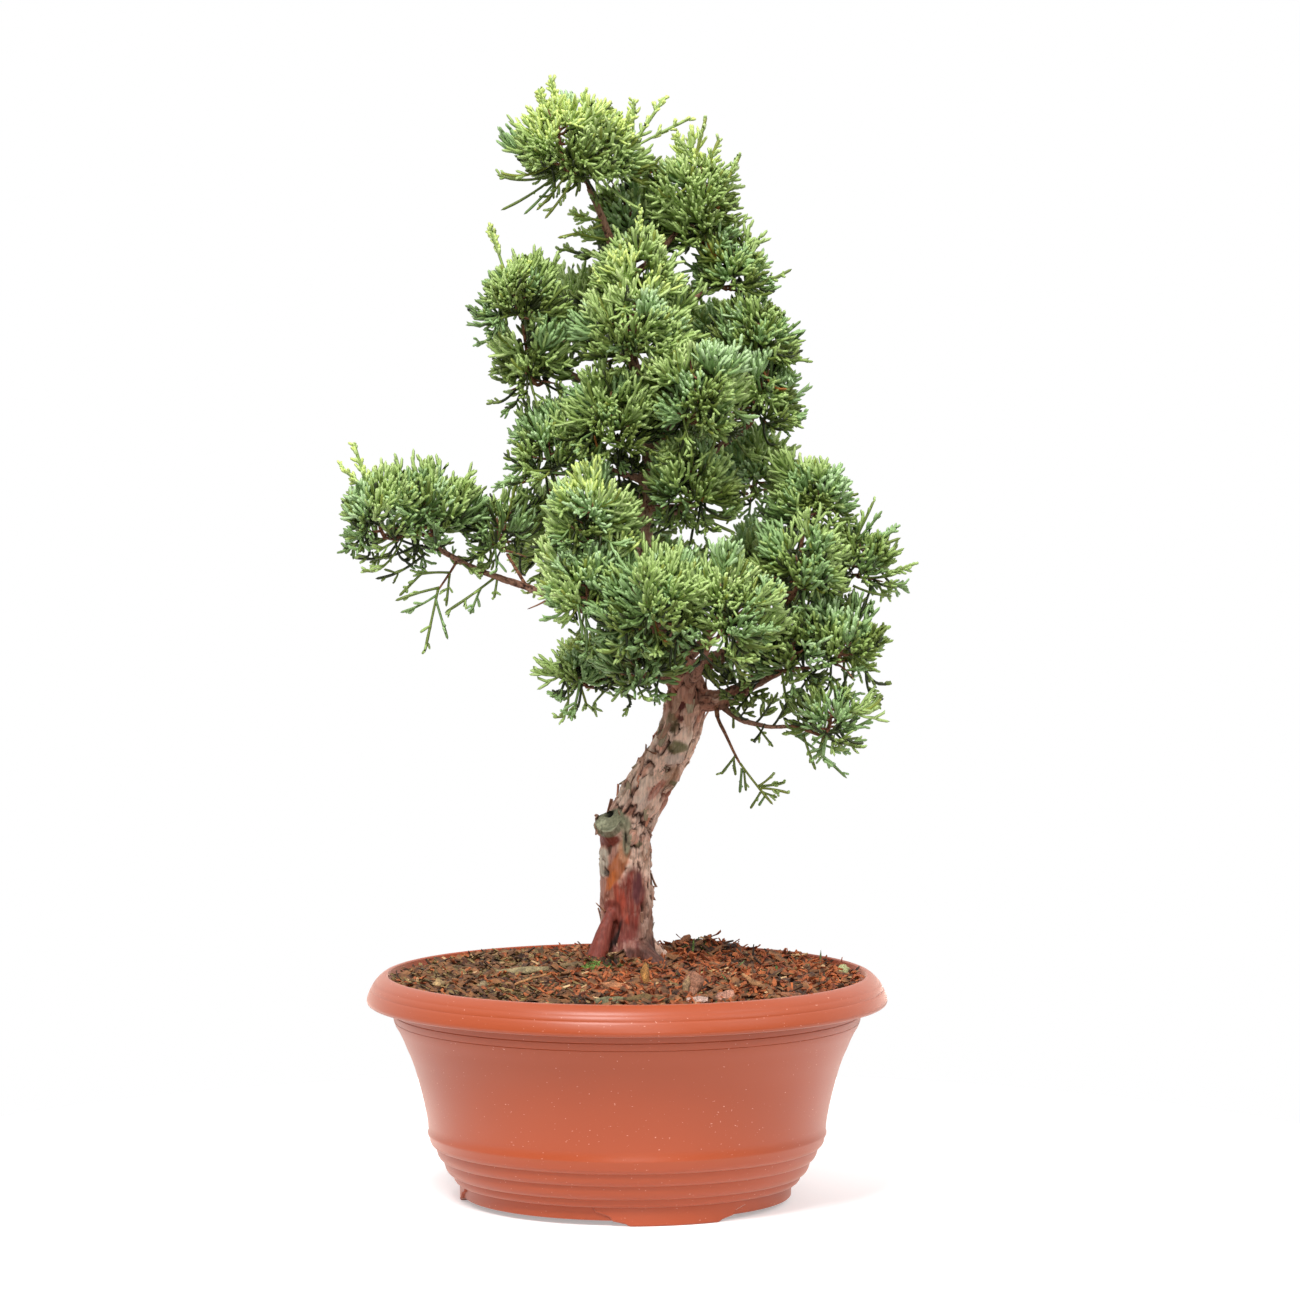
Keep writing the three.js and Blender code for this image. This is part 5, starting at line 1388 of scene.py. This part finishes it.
# Sprays that stand or hang by themselves: start, end, sag, length of their side shoots, tone and fullness
LOOSE = {
    "left_hanging": [
        ((-90, -7.3, 295), (-96.5, -12, 264.5), 0, 9, 4, 0.25),
        ((-91.2, -8.2, 290), (-85.3, -12, 271), 0, 5, 13, 0.05),
        ((-89.5, -7.2, 295.5), (-110.5, -11, 289.5), -1, 8, 4, 0.2),
        ((-90.8, -8, 292), (-108, -12, 284), 2, 6, 13, 0.15),
        ((-84.5, -5, 302.5), (-100, -9, 302), -1, 6, 4, 0.15),
        ((-98, -8.7, 302.3), (-108.6, -9, 291.6), 0, 4, 4, 0.05),
        ((-63, 1, 300), (-87, -8, 283.5), 1, 8, 4, 0.3),
        ((-70, -1.7, 294.7), (-75, -5, 282.5), 0, 6, 13, 0.2),
        ((-84.6, -5, 302), (-86.2, -9, 286.5), 0, 6, 4, 0.2),
        ((-62, 1, 299.5), (-63.5, -2, 290), 0, 4, 4, 0.05),
        ((-80, -1.5, 308), (-71, -4, 301.5), 1, 5, 4, 0.5),
    ],
    "mid_centre": [
        ((25, -21, 335.5), (33, -27, 325), 1, 6, 4, 0.3),
        ((25, -21, 335.5), (50, -24, 328.5), 2, 7, 5, 0.25),
        ((26, -22, 335.5), (42, -27, 323), 2, 7, 4, 0.35),
        ((27, -22, 335.5), (52, -26, 322.5), 2, 7, 4, 0.3),
        ((24, -20, 335), (15, -22, 331), 1, 7, 3, 0.6),
        ((23, -19, 335), (19, -24, 327), 0, 7, 3, 0.6),
        ((25, -21, 335), (24, -26, 326), 0, 7, 4, 0.5),
        ((22, -18, 335), (11, -20, 325), 1, 7, 3, 0.6),
        ((24, -20, 335), (29, -27, 325.5), 0, 7, 3, 0.5),
    ],
    "hanging_twig": [
        ((54, -1, 211), (70, -3, 191), 1, 4, 5, 0.0),
        ((52, -1, 214.5), (45, -2, 205.5), 0, 3, 4, 0.0),
        ((51, -1, 213.5), (52, -2, 205), 0, 3, 4, 0.0),
        ((55, -1, 208.5), (54, -2, 196.5), 0, 3, 13, 0.0),
        ((56, -1, 207.5), (57, -3, 197.5), 0, 3, 4, 0.0),
        ((63, -2, 200), (71, -1, 206.5), 1, 3, 5, 0.0),
        ((63, -2, 200), (76, -3, 202), 1, 4, 4, 0.1),
        ((64, -2, 199), (78, -3, 196.5), -1, 4, 5, 0.1),
        ((65, -2, 197), (72, -3, 194.5), 0, 3, 4, 0.0),
        ((64, -2, 197), (59, -2, 189), 0, 3, 4, 0.0),
        ((66, -2, 195), (63, -3, 190.5), 0, 3, 13, 0.0),
    ],
    "right_lower": [
        ((104, -14, 272), (124, -10, 278), 4, 8, 4, 0.4),
        ((100, -14, 276), (115, -12, 272), 2, 7, 13, 0.3),
        ((50, 10, 244), (42, -4, 263), 3, 8, 2, 0.9),
        ((54, 8, 246), (54, -10, 266), 3, 8, 3, 0.9),
        ((60, 4, 249), (63, -16, 262), 3, 8, 3, 0.9),
        ((48, 11, 243), (35, 2, 258), 3, 8, 2, 0.9),
        ((58, 5, 247), (66, -16, 243), 3, 8, 2, 0.7),
        ((54, 7, 244), (47, -12, 245), 4, 8, 2, 0.8),
        ((64, 0, 251), (55, -16, 252), 3, 8, 3, 0.8),
        ((62, 0, 250), (52, -16, 238), 3, 8, 2, 0.5),
        ((56, 6, 246), (44, 12, 256), 2, 8, 1, 0.9),
        ((60, 4, 249), (58, 14, 264), 2, 8, 1, 0.9),
    ],
    "apex_left": [
        ((-31, -6, 516), (-36, -8, 538), 0, 4.5, 7, 0.9),
        ((-37, -8, 516), (-42, -10, 533), 0, 4, 7, 0.8),
        ((-20, -4, 516), (-20, -5, 532), 0, 4, 7, 0.6),
        ((3, 1, 510), (3, 0, 528), 0, 4, 7, 0.6),
        ((2, 2, 505), (18, 2, 529), 1, 4.5, 7, 0.7),
        ((0, 3, 503), (31, 6, 519), -1, 4.5, 7, 0.6),
        ((-31, -4, 494), (-62, -5, 492), 7, 8, 4, 0.2),
        ((-31, -4, 493.5), (-60, -6, 475), 3, 3, 4, 0.0),
        ((-30, -4, 493.5), (-49, -8, 473), 2, 3, 13, 0.0),
        ((-28, -4, 493), (-43, -9, 475), 2, 6, 6, 0.3),
        ((-24, -3, 492), (-39, -9, 471), 2, 6, 6, 0.3),
        ((-13, -2, 491), (8, -14, 475), 4, 3, 7, 0.0),
        ((-9, 7, 461), (-25, -2, 465), 1, 7, 6, 0.6),
        ((-8, 8, 458), (-22, -2, 452), 2, 7, 3, 0.6),
        ((-12, 7, 470), (-26, -4, 474), 1, 7, 6, 0.6),
        ((-12, 6, 468), (-33, -6, 462), 1, 5, 6, 0.2),
    ],
    "apex_right": [
        ((32, 14, 498), (38, 15, 520), 0, 4, 6, 0.5),
        ((31, 14, 500), (23, 14, 510), -1, 4, 7, 0.5),
        ((38, 14, 494), (44, 15, 509), 0, 4, 6, 0.6),
        ((46, 14, 486), (54, 14, 501), 1, 4, 5, 0.7),
    ],
    "upper_centre": [
        ((4, -12, 458), (7, -13, 474), 0, 4.5, 7, 0.7),
        ((-8, -30, 436), (-15, -34, 447), 0, 4, 7, 0.7),
    ],
    "upper_left": [
        ((-58, -8, 446), (-65, -7, 467), 0, 4.5, 7, 0.9),
        ((-50, -6, 428), (-75, -8, 428), 6, 8, 3, 0.2),
    ],
    "upper_right": [((57, 13, 438), (79, 12, 447), 2, 5, 4, 0.5)],
    "mid_left": [
        ((-38, -6, 352), (-59, -6, 360), 6, 8, 3, 0.2),
        ((-34, -8, 366), (-50, -8, 386), 2, 8, 3, 0.5),
        ((2, 8, 348.5), (3, -2, 359), 1, 9, 1, 0.9),
        ((-3, 6, 350), (-4, -4, 359.5), 1, 9, 1, 0.9),
        ((1, 8, 348.5), (6, 0, 354), 1, 8, 1, 0.8),
        ((0, 8, 349), (4, -3, 342), 2, 9, 1, 0.8),
        ((-4, 6, 350), (-3, -5, 341.5), 2, 9, 2, 0.8),
        ((-6, 5, 351), (-10, -5, 347), 2, 9, 1, 0.8),
        ((3, 9, 348), (-4, 16, 358), 1, 9, 0, 0.9),
        ((-2, 7, 349.5), (0, 14, 340), 1, 9, 0, 0.8),
        ((9, 12, 344), (1, 4, 335.5), 1, 8, 1, 0.7),
    ],
    "left_tip": [
        ((-122, -8, 338), (-130, -8, 365), 1, 5, 7, 0.9),
        ((-122, -10, 342), (-137, -8, 354), 1, 5, 7, 0.8),
        ((-100, -8, 316), (-131, -8, 310), 6, 8, 2, 0.2),
        ((-96, -8, 312), (-120, -10, 300), 5, 8, 2, 0.2),
    ],
    "right_upper": [
        ((108, 0, 316), (118, 0, 337), 1, 6, 4, 0.3),
        ((110, 0, 318), (122, 0, 332), 1, 6, 13, 0.3),
        ((106, 0, 314), (131, 0, 319), 3, 8, 4, 0.3),
        ((112, 2, 314), (128, 1, 323), 2, 7, 13, 0.4),
        ((112, 4, 308), (130, 3, 312), 2, 7, 4, 0.4),
        ((118, 3, 303), (137, 2, 306), 3, 6, 4, 0.7),
        ((112, 2, 298), (134, 1, 297), 2, 5, 13, 0.1),
        ((108, 0, 296), (127, 0, 291), 2, 7, 4, 0.3),
    ],
    "front_right": [
        ((55, -64, 273), (74, -72, 273), 3, 4, 4, 0.5),
        ((52, -66, 282), (71, -72, 281), 3, 4, 13, 0.5),
        ((46, -66, 268), (62, -72, 266), 3, 4, 4, 0.4),
    ],
    "lower_right": [
        ((54, 5, 232.5), (60, -4, 243), 2, 6, 2, 0.5),
        ((58, 2, 231.5), (49, -6, 239), 3, 6, 2, 0.5),
        ((62, -1, 230.5), (70, -8, 243), 2, 7, 3, 0.6),
        ((66, -4, 230), (60, -10, 222), 2, 6, 3, 0.2),
        ((70, -7, 229.5), (77, -14, 243), 2, 7, 3, 0.6),
        ((80, -14, 226), (105, -18, 205), -2, 6, 13, 0.1),
        ((84, -15, 226), (90, -17, 209), 1, 5, 4, 0.1),
        ((88, -17, 224), (106, -18, 218), 2, 6, 13, 0.2),
        ((92, -18, 226), (114, -18, 220), 2, 6, 4, 0.2),
        ((96, -18, 228), (117, -18, 234), 4, 8, 13, 0.4),
        ((94, -18, 234), (112, -18, 241), 3, 8, 4, 0.6),
        ((62, -2, 229), (70, -6, 219), 0, 3, 4, 0.0),
        ((51, 6, 233), (51, 4, 227), 0, 3, 4, 0.0),
    ],
}
# Sprays that stand off the back of the trunk, between the boughs, in the darker tones of painted shade
LOOSE["back_middle"] = []
for k in range(34):
    foot = trunk_at(292 + 5.0 * k)
    turn = math.radians(90 + 75 * math.sin(2.4 * k))
    level = np.array([math.cos(turn), math.sin(turn), 0.3 + 0.2 * math.sin(1.3 * k)])
    tip = foot + level * (31 + 6 * math.sin(1.7 * k))
    LOOSE["back_middle"].append((foot, tip, 2, 9, 1 + k % 3, 0.9))
# The share of a mass's sprays that have a bloom
BLOOM = {"apex_left": 0.15, "apex_right": 0.15, "upper_centre": 0.12, "centre_right": 0.25}
BLOOM |= {"centre_left": 0.2, "right_lower": 0.55, "lower_right": 0.55, "right_upper": 0.45}
BLOOM |= {"left_tip": 0.45, "front_right": 0.45}
OTHER_BLOOM = 0.35
LIGHT_FROM = np.array([-0.25, -0.6, 0.76])
# How much new growth a mass has at its tips. Below 0 it is old and dark.
FRESH = {"apex_left": 1.7, "apex_right": 0.2, "upper_centre": 0.7, "front_left": 0.7, "upper_left": -0.6}
FRESH |= {"right_upper": -0.9, "right_lower": -0.9, "left_inner": -0.9, "left_tip": -0.8}
FRESH |= {"right_shoulder": -0.5, "front_centre": -0.3, "front_right": -0.3, "centre_right": -0.2}
FRESH |= {"centre_left": -0.2, "upper_right": -0.3}
MOST_TRIANGLES = 190000
# Sprays end within these corners
FURTHEST = (np.array([-136.0, -120.0, 175.0]), np.array([135.0, 120.0, 531.0]))
twigs = Cords()
# Dead twiglets: two on the trunk, and one under the bough on the left
TWIGLETS = [((-10, 24, 136), (-15.4, 22, 141.2)), ((14, 15, 214), (9.6, 13, 216))]
TWIGLETS += [((-38, 4, 289), (-48, 2, 284.5))]
for start, end in TWIGLETS:
    a, c = np.array([start], float), np.array([end], float)
    twigs.grow(a, (a + c) / 2 - UP * 0.6, c, 0.55, [1.0, 0.85, 0.7, 0.5], 4)
bundles = []
for number, (name, mass) in enumerate(MASSES.items()):
    random = np.random.default_rng(11 + 17 * number)
    shoots = Cords()
    stem_points, stem_radii = curve_through(stem_route(mass), 10 + 8 * len(mass["lobes"]))
    for k in range(0, len(stem_points) - 2, 2):
        a, b, c = (stem_points[k + i][None] for i in range(3))
        twigs.grow(a, b, c + (c - b) * 0.4, stem_radii[k], [1.0, 0.97, 0.94], 6)
    for x, y, z, radius in mass["lobes"]:
        thinned, slender = THIN.get(name, (1.0, 1.0))
        many = round(AXES * (radius / USUAL_R) ** 2 * thinned)
        if not many:
            continue
        centre = np.array([x, y, z], float)
        outward = unit((centre - CROWN_MIDDLE) * (LEVEL + 0.2 * UP))
        low_point = centre - UP * LOW * radius
        foot = stem_points[np.linalg.norm(stem_points - low_point, axis=1).argmin()]
        leader, roots, knees, ends = leader_and_twigs(foot, centre, radius, outward, random)
        a, b, c = (p[None] for p in leader)
        twigs.grow(a, b, c, LEADER_R, [1.0, 0.9, 0.8, 0.65, 0.5], 5)
        hub = bent(a, b, c, np.array([0.25]))[0][0]
        fits = free_reach(unit(ends - centre), name, centre, radius) > radius * 0.5
        fits &= clear_of_wood(ends) > 1
        roots, knees, ends = roots[fits], knees[fits], ends[fits]
        twigs.grow(roots, knees, ends, TWIG_R, [1.0, 0.85, 0.7, 0.6, 0.5], 4)
        aim = over_sphere(many, random)
        # Under a lobe they sweep outward, and none hangs straight down
        aim = unit(aim + outward * 0.7 * soft_step(-aim[:, 2:], 0.2, 0.8))
        high = aim[:, 2]
        low = high < UNDER
        reach = skin_reach(aim, centre, radius) * random.normal(0.93, 0.09, many)
        reach *= np.where(low, random.uniform(0.95, 1.3, many), 1.0)
        reach += np.where(random.random(many) < 0.16, random.uniform(2.5, 9, many), 0)
        limit = free_reach(aim, name, centre, radius)
        c = np.clip(centre + aim * np.minimum(reach, limit)[:, None], FURTHEST[0], FURTHEST[1])
        level = np.where(low, 0.25, 1.0)[:, None] * UP + LEVEL
        closeness = unit((c - hub) * level) @ unit(ends - hub).T
        closest, close = closeness.argmax(1), closeness.max(1)
        share = np.clip(0.2 + 0.65 * close, 0.05, 1.0) * random.uniform(0.4, 1.0, many)
        share = np.where(low, random.uniform(0.25, 1.0, many), share)
        a = bent(roots[closest], knees[closest], ends[closest], share)[0]
        length = np.linalg.norm(c - a, axis=1)
        upright = np.where(low, 0.45, 0.95)[:, None] * UP
        flatter = np.where(low, 0.35, 1.0)[:, None] * UP + LEVEL
        drawn = c - unit(aim * flatter + upright) * 0.45 * length[:, None]
        drawn += random.normal(0, 0.04, (many, 3)) * length[:, None]
        probe = bent(a[:, None], drawn[:, None], c[:, None], np.broadcast_to([0.5, 0.8, 1.0], (many, 3)))[0]
        good = (limit > 0.5 * radius) & (length > 6)
        good &= clear_of_wood(probe.reshape(-1, 3)).reshape(many, 3).min(1) > 0.6
        for sx, sy, sz, sister in mass["lobes"]:
            if (sx, sy, sz) != (x, y, z):
                good &= np.linalg.norm(c - np.array([sx, sy, sz]), axis=1) > sister - 5
        # Painted light and shade: upward sprays get lighter greens, ones below or behind another lobe darker
        fresh = FRESH.get(name, 0.0)
        lit = 3.1 + 2.5 * np.maximum(high, -0.45) + fresh * (0.45 + np.maximum(high, -0.3))
        lit += 0.4 + 1.3 * low - 2.8 * in_shade(c, centre) + random.normal(0, 0.75, many)
        tone = np.clip(np.round(lit), 0, DEAD - 1).astype(int)
        tone[random.random(many) < BLOOM.get(name, OTHER_BLOOM)] += DEAD + 1
        tone[random.random(many) < DEAD_SHARE] = DEAD
        full = np.clip(0.88 + 0.3 * high + random.normal(0, 0.12, many), 0.1, 1) * slender
        full *= np.where(low, 0.45, 1.0)
        patch = 2.1 * radius / math.sqrt(many)
        # Short sprays fill the shade inside the lobes about the crown's middle
        from_middle = np.linalg.norm((centre - CROWN_MIDDLE) / np.array([75, 75, 130]))
        shaded = round(INNER * np.clip(1.9 - from_middle, 0.45, 1))
        twig = random.integers(0, len(ends), shaded)
        inner_a = bent(roots[twig], knees[twig], ends[twig], random.uniform(0.15, 1.0, shaded))[0]
        rise = unit(random.normal(0, 0.7, (shaded, 3)) + UP) * radius
        inner_c = inner_a + rise * random.uniform(0.3, 0.5, shaded)[:, None]
        room = free_reach(unit(inner_c - centre), name, centre, radius) > 0.6 * radius
        kept = (clear_of_wood(inner_c) > 1) & room
        inner_a, inner_c = inner_a[kept], inner_c[kept]
        middle = (inner_a + inner_c) / 2 - UP * 0.1 * radius
        # Their greens are the three darkest tones, painted shade
        dim = random.integers(0, 3, len(inner_a))
        grow_sprays(shoots, inner_a, middle, inner_c, dim, np.full(len(inner_a), 0.5 * slender), random)
        for pick, about in ((good & ~low, {"centre": centre, "patch": patch}), (good & low, {"reach": 9.0})):
            grow_sprays(shoots, a[pick], drawn[pick], c[pick], tone[pick], full[pick], random, **about)
    for start, end, sag, reach, tone, full in LOOSE.get(name, []):
        a, c = np.array([start], float), np.array([end], float)
        drawn = (a + c) / 2 - UP * sag
        grow_sprays(shoots, a, drawn, c, np.array([tone]), np.array([full]), random, reach=reach)
    if bundles and bundles[-1][0].size + shoots.size < MOST_TRIANGLES:
        bundles[-1][0].absorb(shoots)
        bundles[-1][1].append(name)
    else:
        bundles.append((shoots, [name]))

for number, (shoots, names) in enumerate(bundles):
    piece = place(f"shoots_{number}", shoots.mesh(f"shoots_{number}"), greens)
    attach(piece, "root")
    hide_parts(*(f"foliage_{name}" for name in names))

# Twigs
# The stems, leaders and twigs inside the masses, in one mesh. Their thin, dull bark flakes in strips of 2 mm:
# red-brown where it is fresh, grey-brown where it is old.
twig_bark, twig_tree, twig_shader = surface("flaking_twig_bark", {"Roughness": 0.8})
strip = {"Vector": add(twig_tree, "ShaderNodeTexCoord").outputs["Object"], "Scale": 480.0, "Detail": 2.0}
strip = add(twig_tree, "ShaderNodeTexNoise", strip)
strip = {"Value": strip.outputs["Fac"], "From Min": 0.4, "From Max": 0.6}
strip = add(twig_tree, "ShaderNodeMapRange", strip)
shade = {"Factor": strip.outputs["Result"], "A": hue("#6b3f2c"), "B": hue("#9a6a4c")}
shade = add(twig_tree, "ShaderNodeMix", shade, data_type="RGBA")
twig_tree.links.new(shade.outputs["Result"], twig_shader.inputs["Base Color"])
piece = place("twigs", twigs.mesh("twigs"), [twig_bark])
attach(piece, "root")
